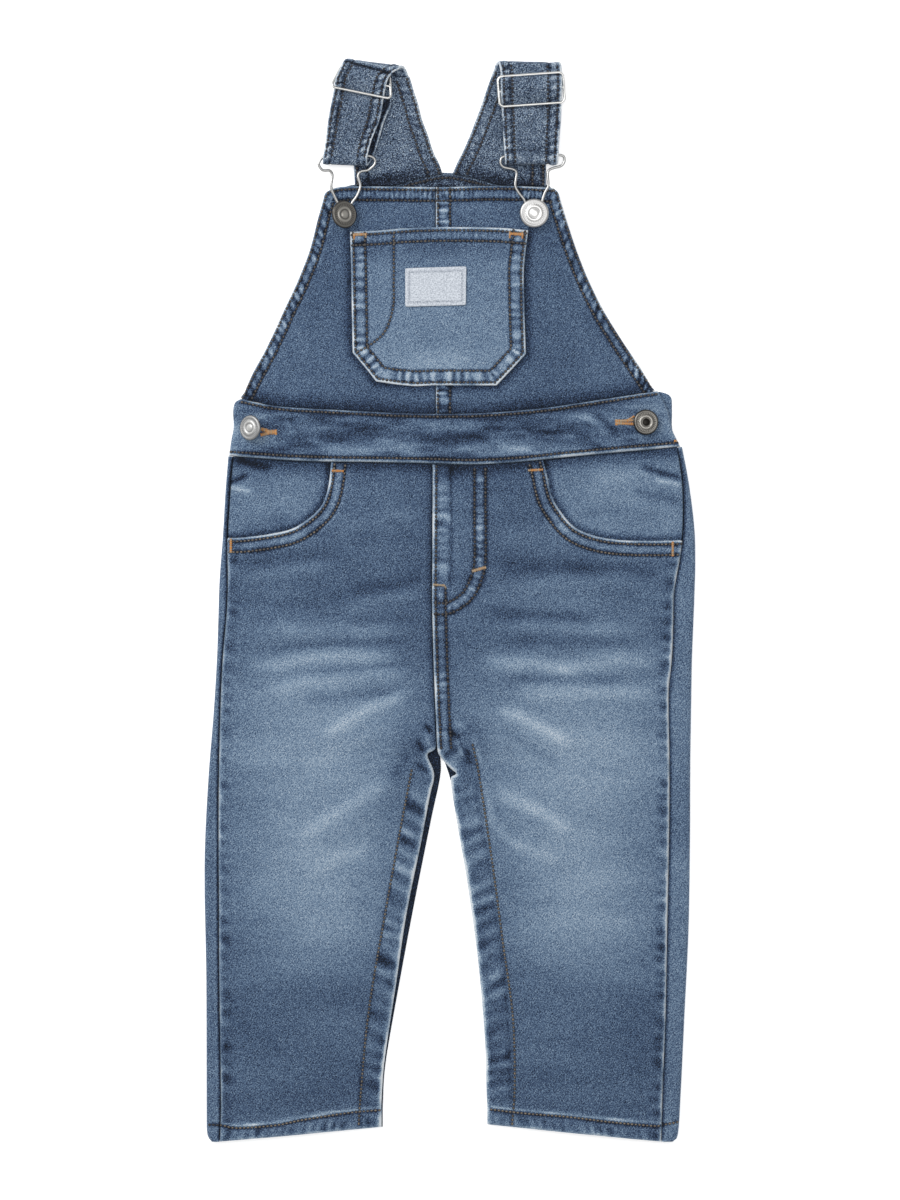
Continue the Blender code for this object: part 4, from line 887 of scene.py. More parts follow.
def worn_seam(away, along, ends, row_shade, wear, seed):
    """Lift and wash beside one seam, with painted shade in its grooves and in the dips of its puckers.
    Ends is 0 beyond the ends of the seam and 1 along it, and wear has the columns of SEAMS from its rows
    of stitches on."""
    rows, edge_wear, middle_wear_and_shade, ridge_wear, pucker, period, slant = wear
    uneven = 0.75 + 0.5 * clouds(along, away, 9.0, seed)
    lift, wash = np.zeros(away.shape), edge_wear * uneven * bump(away - EDGE_LINE, EDGE_REACH)
    reach, fall = (rows[-1], 1.2) if rows else (PLAIN_REACH, 5.0)
    # The groove under each row is darker: kept dye and painted shade
    for row in rows:
        wash = wash - row_shade * ends * bump(away - row, SHADE_REACH)
        lift = lift - ROW_GROOVE * ends * bump(away - row, GROOVE_REACH)
    inside = ends * ease(away / 1.2) * ease((reach - away) / fall + 0.5)
    turn = (along + slant * away) / period + 0.6 * clouds(along, away * 0.3, 1.9 * period, seed + 1)
    blobs = clouds(along + slant * away, 0.5 * away, 0.42 * period, seed + 2)
    # Puckers are paler where they rise, which is wear, and darker in their dips, which is painted shade
    wave = 1.5 * pucker * (0.6 * np.sin(2 * np.pi * turn) + 0.8 * blobs) * uneven
    wash = wash + ridge_wear * uneven * ends * bump(away - reach - RIDGE, 1.0)
    wash = wash + middle_wear_and_shade * uneven * inside + wave * inside
    return lift + inside * (SEAM_LIFT + wave), wash


def finish(name, x, y):
    """How far the cloth of a cut is lifted at each point, and its wash there: the dye that it has lost,
    with painted shade and painted light added.
    """
    wash = np.full(x.shape, next(wash for piece, wash in BASE_WASH.items() if name.startswith(piece)))
    seed = sum(map(ord, name))
    lift = sum(high * clouds(x, y, size, seed + n) for n, (high, size) in enumerate(WAVES))
    wide, high, depth = next(row for piece, row in MOTTLE.items() if name.startswith(piece))
    wash = wash + depth * clouds(x * 10 / wide, y * 10 / high, 10.0, seed + 2)
    wash = wash + 0.7 * depth * clouds((x + 0.4 * y) * 20 / wide, y * 20 / high, 8.0, seed + 3)
    for mid_x, mid_y, reach_x, reach_y, added in rows_for(name, FADES):
        wash = wash + added * bump(np.hypot((x - mid_x) / reach_x, (y - mid_y) / reach_y), 1.0)
    # Whiskers fade the wash; the dips of creases are painted darker, as painted shade, and their rises
    # lighter, as painted light
    for *line, width, added, rise in rows_for(name, STREAKS):
        along, away = beside(x, y, *line)
        away = away + 0.4 * width * clouds(x, y, 16.0, seed + 5)
        shape = bump(away, width) * faded_ends(along)
        wash, lift = wash + CREASE_SHARE * added * shape, lift + rise * shape
    # Painted shadow: the cloth beside the edge of a cut on top is made darker
    for piece, path, side, reach, shadow_depth in PAINTED_SHADOWS:
        if name.startswith(piece) and not (piece == "bib" and name == "bib_pocket"):
            away, _ = measured(PATHS[path], x, y)
            wash = wash - shadow_depth * np.where(away * side > 0, bump(away, reach), 0.0)
    for piece, path, *wear in SEAMS:
        if name.startswith(piece):
            away, along = measured(PATHS[path], x, y)
            away = np.abs(away) if name.startswith("leg_back") else away
            start = INSEAM_START if "inseam" in path else 0.0
            ends = ease((along - start) / 2.0) * ease((gone_along(PATHS[path])[-1] - along) / 2.0)
            shade = ROW_SHADES.get(path, ROW_SHADE)
            lifted, worn = worn_seam(away, along, ends, shade, wear, seed + 6)
            lift, wash = lift + lifted, wash + worn
    return lift, wash


print("cuts with fades:", len(FADES), "with creases:", len(STREAKS), "worn seams:", len(SEAMS))

# %% [markdown]
# ## Materials
#
# Denim is a warp-faced twill: blue warp threads cross white weft in diagonal lines. Three sizes of
# noise and the twill lines are added to wash, and one colour ramp turns the sum into dye. The twill
# here is drawn at 1.4 mm, where the real one is near 0.7 mm, because that is too fine to show.

# %% Denim
DYE = [
    (0.00, "10161f"),
    (0.14, "222f46"),
    (0.25, "364864"),
    (0.35, "4a5e77"),
    (0.46, "61768f"),
    (0.56, "768ba1"),
    (0.70, "93a5b6"),
    (0.84, "b0bcc8"),
    (1.00, "ced5db"),
]
# A sum of 1 is at this share of the ramp, which leaves room above it for pale flecks
RAMP_SHARE = 0.7
# Noise is weak on the planes of its own grid, so the grid is turned out of the plane of the cloth
ASKEW = (37, 29, 17)
# Angle of the twill lines in degrees, their period in metres, and the share of wash that they add
TWILL_ANGLE = 35
TWILL_PERIOD = 0.0014
TWILL_SHARE = 0.07
# A wave texture of scale 1 repeats every pi / 10
WAVE_PERIOD = 2 * math.pi / 20
# Noises: scale, detail, share of wash that it adds or takes
NOISES = [(45.0, 3.0, 0.12), (420.0, 1.0, 0.06), (2000.0, 0.0, 1.25)]


def denim_of(name, contrast, greyness):
    """A denim. Contrast scales its flecks, and greyness takes the blue out of it."""
    material, tree, shader = new_material(
        name, Roughness=0.88, Specular_IOR_Level=0.15, Sheen_Weight=0.08
    )
    place = add_node(tree, "ShaderNodeTexCoord").outputs["Object"]
    wash = add_node(tree, "ShaderNodeAttribute", attribute_name="wash").outputs["Fac"]
    turned = add_node(tree, "ShaderNodeMapping", links={"Vector": place})
    turned.inputs["Rotation"].default_value = (0, 0, math.radians(TWILL_ANGLE))
    askew = add_node(tree, "ShaderNodeMapping", links={"Vector": place})
    askew.inputs["Rotation"].default_value = [math.radians(angle) for angle in ASKEW]
    flecks = contrast * sum(share for *_, share in NOISES) + TWILL_SHARE
    total = maths(tree, "ADD", wash, -0.5 * flecks)
    for scale, detail, share in NOISES:
        links = {"Vector": askew.outputs[0]}
        noise = add_node(tree, "ShaderNodeTexNoise", links=links, Scale=scale, Detail=detail)
        total = maths(tree, "MULTIPLY_ADD", noise.outputs[0], contrast * share, total)
    links = {"Vector": turned.outputs[0]}
    twill = add_node(tree, "ShaderNodeTexWave", links=links, Scale=WAVE_PERIOD / TWILL_PERIOD)
    twill.inputs["Distortion"].default_value = 1.5
    total = maths(tree, "MULTIPLY_ADD", twill.outputs["Fac"], TWILL_SHARE, total)
    stops = []
    for stop, colour in DYE:
        blue = np.array(linear(colour))
        grey = np.array([*[blue[:3].mean()] * 3, 1.0])
        stops.append((stop, blue * (1 - greyness) + grey * greyness))
    dye = ramp(tree, maths(tree, "MULTIPLY", total, RAMP_SHARE), stops)
    grain = add_node(
        tree, "ShaderNodeBump", links={"Height": noise.outputs[0]}, Strength=0.5, Distance=0.0004
    )
    tree.links.new(dye, shader.inputs["Base Color"])
    tree.links.new(grain.outputs[0], shader.inputs["Normal"])
    return material


denim = denim_of("Stone-washed denim", 1.0, 0.0)
strap_denim = denim_of("Darker denim of the straps", 1.8, 0.16)
print("denim nodes:", len(denim.node_tree.nodes))

# %% [markdown]
# The other materials: topstitching thread, which is polyester-cotton with a slight gloss, varies from
# one stitch to the next, and is painted lighter along its crown as a painted highlight and darker on its
# flanks as painted shade; a bare woven label; and nickel plate, bright on some fittings, rubbed or
# darkened in its hollows on others.

# %% Thread, label and nickel
THREAD_TINTS = [
    (0.00, "17161c"),
    (0.40, "2b292b"),
    (0.62, "4d4843"),
    (0.85, "877b6b"),
    (0.93, "ad9c82"),
    (1.00, "c98436"),
]
LABEL_CONTRAST = 0.22
LABEL_TINTS = [(0.4, "7f8794"), (0.85, "cfd5dd")]


def linear_stops(stops):
    return [(stop, linear(colour)) for stop, colour in stops]


thread, tree, shader = new_material("Topstitching thread", Roughness=0.6)
tint = add_node(tree, "ShaderNodeAttribute", attribute_name="tint").outputs["Fac"]
tree.links.new(ramp(tree, tint, linear_stops(THREAD_TINTS)), shader.inputs["Base Color"])

label_cloth, tree, shader = new_material("Off-white woven tape", Roughness=0.8)
place = add_node(tree, "ShaderNodeTexCoord").outputs["Object"]
weave = add_node(tree, "ShaderNodeTexNoise", links={"Vector": place}, Scale=1300.0, Detail=2.0)
border = add_node(tree, "ShaderNodeAttribute", attribute_name="wash").outputs["Fac"]
shaded = maths(tree, "MULTIPLY_ADD", border, LABEL_CONTRAST, weave.outputs[0])
tree.links.new(ramp(tree, shaded, linear_stops(LABEL_TINTS)), shader.inputs["Base Color"])


def nickel(name, hollows, ridges, roughness):
    """Nickel plate whose hollows and rubbed ridges have colours of their own."""
    material, tree, shader = new_material(name, Metallic=1.0, Roughness=roughness)
    polish = add_node(tree, "ShaderNodeAttribute", attribute_name="polish").outputs["Fac"]
    shade = ramp(tree, polish, linear_stops([(0.0, hollows), (1.0, ridges)]))
    tree.links.new(shade, shader.inputs["Base Color"])
    return material


bright_nickel = nickel("Bright nickel plate", "5c5c5e", "e2e2e0", 0.24)
satin_nickel = nickel("Satin nickel plate", "707072", "ecebe9", 0.38)
dark_nickel = nickel("Antiqued nickel plate", "262422", "a8a59f", 0.32)
rubbed_nickel = nickel("Rubbed nickel plate", "77787a", "cacac8", 0.45)
print("materials:", [material.name for material in bpy.data.materials][-8:])

# %% [markdown]
# ## Making a cut of cloth
#
# A cut starts as a flat grid between its four edges. The grid is extruded into a wall, and its two
# sides are then put where the cloth lies. Grid lines are closer near the edges, because that is where
# the cloth rolls over, and a rolled edge catches the light.

# %% Cloth walls
# How far in from an edge its first grid lines are
EDGE_LINES = (0.0, 0.35, 0.8, 1.5)
# How thin cloth may get at a rolled edge and elsewhere, and how far in from an edge nothing is lifted
LEAST_EDGE = 0.3
LEAST_CLOTH = 0.2
FLAT_EDGE = 1.2
# How far in the woven line round the label is
LABEL_BORDER = 2.4
# The finished cuts, by node
cloths = {}


def shares(length, step):
    """Places of grid lines along an edge, as shares of its length."""
    near = np.array(EDGE_LINES) / length
    between = np.linspace(near[-1], 1 - near[-1], max(3, round(length / step)) + 1)
    return np.concatenate([near[:-1], between, 1 - near[-2::-1]])


def coons(low, high, left, right, u, v):
    """A grid of points in the plane that fills the space between four edges."""
    u, v = u[None, :, None], v[:, None, None]
    between = low[None] * (1 - v) + high[None] * v + left[:, None] * (1 - u) + right[:, None] * u
    corners = (low[0] * (1 - u) + low[-1] * u) * (1 - v) + (high[0] * (1 - u) + high[-1] * u) * v
    return between - corners


def from_edges(grid):
    """How far each point is from the nearest edge of its grid, along its row or its column."""
    across = np.linalg.norm(np.diff(grid, axis=1, prepend=grid[:, :1]), axis=2).cumsum(axis=1)
    up = np.linalg.norm(np.diff(grid, axis=0, prepend=grid[:1]), axis=2).cumsum(axis=0)
    return np.minimum.reduce([across, across[:, -1:] - across, up, up[-1:] - up])


def rolled(distance, thickness):
    """How far a quarter-round edge drops below the flat of the cloth, this far in from the edge."""
    radius = max(thickness - LEAST_EDGE, LEAST_CLOTH)
    inside = np.clip(radius - distance, 0.0, radius)
    return radius - np.sqrt(radius**2 - inside**2)


def cloth_wall(name, outer, inner, wash_outer, wash_inner, material=None):
    """A wall of cloth between two grids of points in mm, with its dye stored on its vertices."""
    up, across = outer.shape[0] - 1, outer.shape[1] - 1
    builder = bmesh.new()
    dye_layer = builder.verts.layers.float.new("wash")
    bmesh.ops.create_grid(builder, x_segments=across, y_segments=up, size=0.5)
    extruded = bmesh.ops.extrude_face_region(builder, geom=builder.faces[:])["geom"]
    raised = {element for element in extruded if isinstance(element, bmesh.types.BMVert)}
    sides = {True: (outer * MM, wash_outer), False: (inner * MM, wash_inner)}
    for vert in builder.verts:
        column, row = round((vert.co.x + 0.5) * across), round((vert.co.y + 0.5) * up)
        points, dye_left = sides[vert in raised]
        vert.co = points[row, column]
        vert[dye_layer] = dye_left[row, column]
    bmesh.ops.recalc_face_normals(builder, faces=builder.faces)
    plain = strap_denim if "strap" in name or "yoke" in name else denim
    mesh = finished_mesh(name, builder, material or plain)
    mesh.shade_smooth()
    return add_object(name, mesh)


def hand_over(piece, node):
    """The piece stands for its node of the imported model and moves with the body."""
    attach(piece, "root")
    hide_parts(node)


def flat_area(grid):
    """The area of a grid of points, in square metres."""
    a, b = grid[1:, 1:] - grid[:-1, :-1], grid[1:, :-1] - grid[:-1, 1:]
    return 0.5 * np.abs(a[..., 0] * b[..., 1] - a[..., 1] * b[..., 0]).sum() * MM**2


def cloth_cut(node, piece, cut_width, cut_length, area, rests_on):
    """Hands a finished piece over to its node and keeps it among the cloths. The width and the length in
    mm are not used.
    """
    hand_over(piece, node)
    cloths[node] = piece
    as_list(rests_on)


def edge_of(points):
    """An edge as a function that gives points for shares of it."""
    return points if callable(points) else lambda s: smooth(points, s)


def filled(value, *places):
    """A height or a thickness at each place, from a number or a function of the place."""
    return np.broadcast_to(value(*places) if callable(value) else value, places[0].shape)


def panel(node, low, high, left, right, base, cloth, step, rests_on, material=None, slot="denim"):
    """A cut that lies flat. Its edges are points or functions of shares. Base is the height of its
    underside, a number or base(x, y, u, v), cloth is its thickness, a number or cloth(x, y), and step
    is how far apart its grid lines are."""
    low, high, left, right = (edge_of(edge) for edge in (low, high, left, right))
    ends = np.linspace(0, 1, 5)
    width = max(gone_along(low(ends))[-1], gone_along(high(ends))[-1])
    length = max(gone_along(left(ends))[-1], gone_along(right(ends))[-1])
    u, v = shares(width, step), shares(length, step)
    grid = coons(low(u), high(u), left(v), right(v), u, v)
    x, y = grid[..., 0], grid[..., 1]
    under, thickness = filled(base, x, y, u[None, :], v[:, None]), filled(cloth, x, y)
    edge = from_edges(grid)
    if slot == "denim":
        lift, wash = finish(node, x, y)
    else:
        lift, wash = np.zeros(x.shape), 1 - bump(edge - LABEL_BORDER, 0.5)
    lift = lift * ease(edge / FLAT_EDGE)
    top = under + thickness + lift - rolled(edge, float(thickness.max()))
    outer = np.dstack([x, y, np.maximum(top, under + LEAST_CLOTH)])
    inner = np.dstack([x, y, under])
    piece = cloth_wall(f"cloth_{node}", outer, inner, wash, np.full(x.shape, INSIDE_SHADE), material)
    box_size = grid.reshape(-1, 2).max(axis=0) - grid.reshape(-1, 2).min(axis=0)
    cloth_cut(node, piece, box_size[0], box_size[1], flat_area(grid), rests_on)
    print(node, "grid", x.shape, "cut", np.round(box_size), "mm")


# %% [markdown]
# ## Legs and hip pockets
#
# A front leg is cut away at the pocket mouth, so its outer edge is two curves: the mouth, and then the
# side seam. The back leg lies flat on the surface and wraps round the side up to that seam. The
# pocket facing shows inside the mouth.

# %% Front legs
# Folds of the front legs: from x, y, to x, y, half width, rise (+) or dip (-)
FOLDS = [
    (-112.0, -14.0, -30.0, -30.0, 7.0, 0.5), (-110.0, -40.0, -35.0, -28.0, 6.0, -0.4),
    (-20.0, -92.0, -78.0, -140.0, 8.0, 0.6), (-24.0, -74.0, -92.0, -98.0, 7.0, -0.4),
    (-26.0, -120.0, -84.0, -168.0, 8.0, -0.4), (112.0, -16.0, 24.0, -34.0, 7.0, 0.5),
    (110.0, -44.0, 20.0, -24.0, 6.0, -0.4), (14.0, -94.0, 68.0, -142.0, 8.0, 0.6),
    (16.0, -72.0, 84.0, -96.0, 7.0, -0.4), (24.0, -122.0, 78.0, -170.0, 8.0, -0.4),
]
SIGN = {"left": -1, "right": 1}
SIDE_TABLE = {"left": LEFT_SIDE, "right": RIGHT_SIDE}
MOUTH = {"left": LEFT_MOUTH, "right": RIGHT_MOUTH}
INNER = {"left": LEFT_INNER, "right": RIGHT_INNER}
BACK_INNER = {"left": LEFT_BACK_INNER, "right": RIGHT_BACK_INNER}
LEG_STEP = 1.3
SEAM_POINTS = 33
# Where along a front leg's outer edge the pocket mouth ends and the hem starts
MOUTH_SHARE = 7 / 32
HEM_SHARE = 30 / 32
# Over what distance below the band a front leg rises to its crown
WAIST_DIP = 26.0


def fold_height(x, y):
    total = np.zeros(x.shape)
    for *line, width, rise in FOLDS:
        along, away = beside(x, y, *line)
        total += rise * bump(away, width) * faded_ends(along)
    return total


def under_band(left, right):
    """The front band's lower seam between two points, just below it."""
    low, high = left[0] + CORNER_CLEAR, right[0] - CORNER_CLEAR
    between = [(x, y - BAND_TUCK) for x, y in BAND_LOW if low < x < high]
    return [tuple(left), *between, tuple(right)]


def leg_base(side):
    def base(x, y, u, v):
        across = u if side == "left" else 1 - u
        on_back = ease((INSEAM_START_Y - y) / INSEAM_EASE)
        inner = FRONT_BASE + (INSEAM_BASE - FRONT_BASE) * on_back
        below_band = ease((BAND_LOW[4][1] - y) / WAIST_DIP)
        crown = FRONT_CROWN * np.sin(math.pi * across) * below_band
        return FRONT_BASE + (inner - FRONT_BASE) * ease(across) ** 2 + crown + fold_height(x, y)

    return base


def leg_cloth(x, y):
    """The hem is turned up and doubled."""
    away = np.minimum(*(np.abs(measured(PATHS[f"hem_edge_{side}"], x, y)[0]) for side in SIGN))
    return CLOTH + (HEM_CLOTH - CLOTH) * ease((HEM_DEPTH + 1 - away) / 2)


def front_leg(side):
    sign, sides, mouth, inner = SIGN[side], SIDE_TABLE[side], MOUTH[side], INNER[side]
    heights = np.linspace(mouth[-1][1], HEM_Y + HEM_DEPTH, SEAM_POINTS)
    seam = np.stack([table_at(sides, heights, 1) - sign * SIDE_GAP, heights], axis=1)
    hem_side = [tuple(seam[-1]), (table_at(sides, HEM_Y, 1) - sign * SIDE_GAP, HEM_Y)]
    hem_inner = [(inner[-1][0], inner[-1][1] + HEM_DEPTH), inner[-1]]
    waist_part = [*mouth[:-1], tuple(seam[0])]

    def outer_edge(s):
        return chained(s, (waist_part, MOUTH_SHARE), (seam, HEM_SHARE), (hem_side, 1.0))

    def inner_edge(s):
        inseam = [*inner[2:-1], hem_inner[0]]
        return chained(s, (inner[:3], MOUTH_SHARE), (inseam, HEM_SHARE), (hem_inner, 1.0))

    left, right = (outer_edge, inner_edge) if side == "left" else (inner_edge, outer_edge)
    ends = np.array([0.0, 1.0])
    waist = under_band(left(ends)[0], right(ends)[0])
    hem = [left(ends)[1], right(ends)[1]]
    rests_on = [f"pocket_facing_{side}", f"leg_back_{side}"]
    panel(f"leg_front_{side}", waist, hem, left, right, leg_base(side), leg_cloth, LEG_STEP, rests_on)


for side in SIGN:
    front_leg(side)

# %% [markdown]
# The back leg bends right round, so its second side is found by moving each point of the outside
# along the normal there, by the thickness of the cloth.

# %% Back legs
BACK_STEP = 2.0
# How far the top of the back leg and the back band's lower edge lie below the front band's seam
BACK_SEAM_DROP = 4.5
TOP_REACH = 40.0
TOP_EASE = 20.0
# Grid lines of a back leg: shares of its flat part, then how many round its bend and on its top strip
FLAT_SHARES = (0, 0.01, 0.05, 0.15, 0.3, 0.6, 0.9)
BEND_LINES = 9
STRIP_LINES = 12


def band_end(side):
    """How high the end of the front band's lower seam is."""
    return BAND_LOW[0][1] if side == "left" else BAND_LOW[-1][1]


def normals_of(surface):
    """Unit normals of a grid of points in space."""
    normal = np.cross(np.gradient(surface, axis=1), np.gradient(surface, axis=0))
    return normal / np.maximum(np.linalg.norm(normal, axis=2), 1e-9)[..., None]


def back_leg(side):
    sign, sides = SIGN[side], SIDE_TABLE[side]
    top = band_end(side) - SEAM_GAP
    v = shares(top - HEM_Y, BACK_STEP)
    y = top + (HEM_Y - top) * v
    inner = smooth([(BACK_INNER[side][0][0], top), *BACK_INNER[side][1:]], v)
    edge = table_at(sides, y, 2)
    seam = sign * np.minimum(sign * table_at(sides, y, 1), sign * edge - LEAST_WRAP)
    half = SIDE_HEIGHT / 2
    bend = np.minimum(half, WRAP_SHARE * np.abs(edge - seam))
    start = edge - sign * bend
    flat = [inner + (np.stack([start, y], axis=1) - inner) * t for t in FLAT_SHARES]
    columns = [np.column_stack([line, np.zeros(len(v))]) for line in flat]
    for angle in np.linspace(0, math.pi, BEND_LINES):
        high = np.full(len(v), half - half * math.cos(angle))
        columns.append(np.stack([start + sign * bend * math.sin(angle), y, high], axis=1))
    for t in np.linspace(0, 1, STRIP_LINES)[1:]:
        columns.append(np.stack([start + (seam - start) * t, y, np.full(len(v), SIDE_HEIGHT)], axis=1))
    outer = np.stack(columns, axis=1)
    from_side = np.abs(edge[:, None] - outer[..., 0])
    near_top = ease(1 - (top - outer[..., 1]) / TOP_REACH)
    outer[..., 1] -= BACK_SEAM_DROP * near_top * ease(from_side / TOP_EASE)
    inward = normals_of(outer) * (-sign if side == "left" else sign)
    inward *= np.where(inward[:, :1, 2:] > 0, 1, -1)
    lift, wash = finish(f"leg_back_{side}", outer[..., 0], outer[..., 1])
    on_top = ease((outer[..., 2] - 0.6 * SIDE_HEIGHT) / (0.3 * SIDE_HEIGHT))
    edge_distance = np.abs(outer[..., 0] - seam[:, None])
    inner_side = outer + inward * CLOTH
    outer = outer.copy()
    outer[..., 2] += (lift - rolled(edge_distance, CLOTH)) * on_top
    inside = np.full(wash.shape, INSIDE_SHADE)
    piece = cloth_wall(f"cloth_leg_back_{side}", outer, inner_side, wash, inside)
    wide = np.linalg.norm(np.diff(outer, axis=1), axis=2).sum(axis=1)
    area = float(np.trapz(wide, -y)) * MM**2
    cloth_cut(f"leg_back_{side}", piece, float(wide.max()), top - HEM_Y, area, ["floor"])
    print(f"back leg {side}: widest", round(float(wide.max())), "mm")


for side in SIGN:
    back_leg(side)

# %% [markdown]
# A pocket facing follows the side seam outside, and runs a little way under the front leg inside.

# %% Pocket facings
FACING_STEP = 1.2
FACING_POINTS = 7


def facing(side):
    sign, sides = SIGN[side], SIDE_TABLE[side]
    inside_x = MOUTH[side][0][0] - sign * FACING_LAP
    heights = np.linspace(FACING_LOW_Y, band_end(side) - SEAM_GAP, FACING_POINTS)
    seam = [(table_at(sides, y, 1) - sign * SEAM_GAP, y) for y in heights]
    inside = [(inside_x, FACING_LOW_Y), (inside_x, MOUTH[side][0][1] - SEAM_GAP)]
    left, right = (seam, inside) if side == "left" else (inside, seam)
    top = under_band(left[-1], right[-1])
    low, rests_on = [left[0], right[0]], [f"leg_back_{side}"]
    panel(f"pocket_facing_{side}", low, top, left, right, FACING_BASE, CLOTH, FACING_STEP, rests_on)


for side in SIGN:
    facing(side)

# %% [markdown]
# ## Waistband, bib and back panel
#
# The waistband is a strip laid along a shallow curve. The bib is two halves with a felled seam
# between them, and its patch pocket is one cut with mitred corners.

# %% Waistbands
BAND_STEP = 1.0


def band_base(x, y, u, v):
    return BAND_END_BASE + (BAND_BASE - BAND_END_BASE) * ease(u / BAND_EASE) * ease((1 - u) / BAND_EASE)


panel(
    "waistband_front",
    BAND_LOW,
    BAND_TOP,
    BAND_LEFT_END,
    BAND_RIGHT_END,
    band_base,
    BAND_CLOTH,
    BAND_STEP,
    ["waistband_back", "leg_front_left", "leg_front_right"],
)
back_low = [BACK_BAND_LEFT_END[0], *moved(BAND_LOW[1:-1], y=-BACK_SEAM_DROP), BACK_BAND_RIGHT_END[0]]
back_high = [BACK_BAND_LEFT_END[-1], *BAND_TOP[1:-1], BACK_BAND_RIGHT_END[-1]]
panel(
    "waistband_back",
    back_low,
    back_high,
    BACK_BAND_LEFT_END,
    BACK_BAND_RIGHT_END,
    BACK_BASE,
    BACK_BAND_CLOTH,
    BACK_STEP,
    ["floor"],
)

# %% [markdown]
# A bib half lies on the back panel at its armhole and on the band at the waist, and is crowned between
# them. Its top hem is turned twice, so the cloth is thicker there.

# %% Bib halves
BIB_STEP = 0.85
# Where along a bib half's outer edge the armhole ends and the rounded corner starts
ARMHOLE_SHARE = 13 / 15
# The bib's lower edge follows the band's curve at this many points, and its corners run under the band
BIB_WAIST_POINTS = 33
CORNER_LAP = 2.4


def bib_base(x, y, u=None, v=None):
    waist = ease((BIB_WAIST_Y + BIB_WAIST_EASE - y) / BIB_WAIST_EASE)
    left_x = table_at([(b, a) for a, b in BIB_LEFT_EDGE], y, 1)
    right_x = table_at([(b, a) for a, b in BIB_RIGHT_EDGE], y, 1)
    across = (x - left_x) / (right_x - left_x)
    crown = BIB_CROWN * np.sin(math.pi * np.clip(across, 0, 1))
    below_top = ease((BIB_TOP_Y - y) / BIB_TOP_EASE)
    inside_edges = ease(across / BAND_EASE) * ease((1 - across) / BAND_EASE)
    waist_rise = (BAND_BASE - SEAM_GAP - BIB_EDGE_BASE) * waist * inside_edges
    return BIB_EDGE_BASE + waist_rise + crown * below_top * (1 - waist)


def bib_cloth(x, y):
    return CLOTH + (BIB_HEM_CLOTH - CLOTH) * ease((y - BIB_HEM_Y) / BIB_HEM_EASE)


def bib_half(side):
    edge, corner, top = (
        (BIB_LEFT_EDGE, BIB_LEFT_CORNER, BIB_LEFT_TOP)
        if side == "left"
        else (BIB_RIGHT_EDGE, BIB_RIGHT_CORNER, BIB_RIGHT_TOP)
    )
    band_line = smooth(BAND_TOP, np.linspace(0, 1, BIB_WAIST_POINTS))
    corner_y = float(np.interp(edge[0][0], band_line[:, 0], band_line[:, 1]))
    edge = [(edge[0][0], corner_y - CORNER_LAP), *edge[1:]]
    seam = [(BIB_SEAM_X, BIB_WAIST_Y), (BIB_SEAM_X, BIB_LEFT_TOP[-1][1])]
    seam = moved(seam, x=SIGN[side] * SEAM_GAP / 2)
    between = [tuple(p) for p in band_line if CORNER_CLEAR < SIGN[side] * (p[0] - BIB_SEAM_X)]
    waist = [p for p in between if CORNER_CLEAR < SIGN[side] * (edge[0][0] - p[0])]
    low = [edge[0], *waist, seam[0]] if side == "left" else [seam[0], *waist, edge[0]]

    def armhole(s):
        return chained(s, (edge, ARMHOLE_SHARE), (corner, 1.0))

    left, right = (armhole, seam) if side == "left" else (seam, armhole)
    rests_on = ["back_yoke", "waistband_front"]
    panel(f"bib_{side}", low, top, left, right, bib_base, bib_cloth, BIB_STEP, rests_on)


for side in SIGN:
    bib_half(side)

# %% [markdown]
# The patch pocket lies on the bib's crown, and the label lies on the pocket. The back panel is flat, and
# its top edge thins out where it runs under the straps, as at a pressed seam.

# %% Bib pocket, its label, and the back panel
# Where along the pocket's side its mitred corner ends
CORNER_SHARE = 2 / 8
LABEL_STEP = 0.7
# How far in the label's corners are cut, and where along a side that starts
LABEL_CUT, LABEL_TURN = 0.45, 1.6
YOKE_STEP = 1.6
# How far the yoke runs under the straps, and how thin it is there
YOKE_LAP = 1.4
LAP_CLOTH = 0.25
# How far a strap rises over that lap
LAP_RISE = 1.8 * LAP_CLOTH


def pocket_base(x, y, u=None, v=None):
    return bib_base(x, y) + CLOTH + POCKET_LIFT


panel(
    "bib_pocket",
    POCKET_LOW,
    POCKET_TOP,
    lambda s: chained(s, (POCKET_LEFT_CORNER[::-1], CORNER_SHARE), (POCKET_LEFT[::-1], 1.0)),
    lambda s: chained(s, (POCKET_RIGHT_CORNER[::-1], CORNER_SHARE), (POCKET_RIGHT[::-1], 1.0)),
    pocket_base,
    CLOTH,
    BIB_STEP,
    ["bib_left", "bib_right"],
)
low_left, low_right, top_right, top_left = (Vector(corner) for corner in LABEL_CORNERS)


def label_edge(start, end, inward):
    """One side of the label, with its corners rounded."""
    along = (end - start).normalized()
    first, last = start + LABEL_CUT * (along + inward), end + LABEL_CUT * (inward - along)
    return [first, start + LABEL_TURN * along, (start + end) / 2, end - LABEL_TURN * along, last]


up, over = Vector((0, 1)), Vector((1, 0))
panel(
    "bib_label",
    label_edge(low_left, low_right, up),
    label_edge(top_left, top_right, -up),
    label_edge(low_left, top_left, over),
    label_edge(low_right, top_right, -over),
    lambda x, y, u, v: pocket_base(x, y) + CLOTH + SEAM_GAP,
    LABEL_CLOTH,
    LABEL_STEP,
    ["bib_pocket"],
    label_cloth,
    "label_cloth",
)
yoke_top = moved(YOKE_TOP, y=YOKE_LAP)
yoke_left = [YOKE_LOW_LEFT, *moved(BIB_LEFT_EDGE[1:], x=YOKE_INSET), yoke_top[0]]
yoke_right = [YOKE_LOW_RIGHT, *moved(BIB_RIGHT_EDGE[1:], x=-YOKE_INSET), yoke_top[-1]]
yoke_low = [YOKE_LOW_LEFT, *moved(BAND_TOP[1:-1], y=SEAM_GAP), YOKE_LOW_RIGHT]


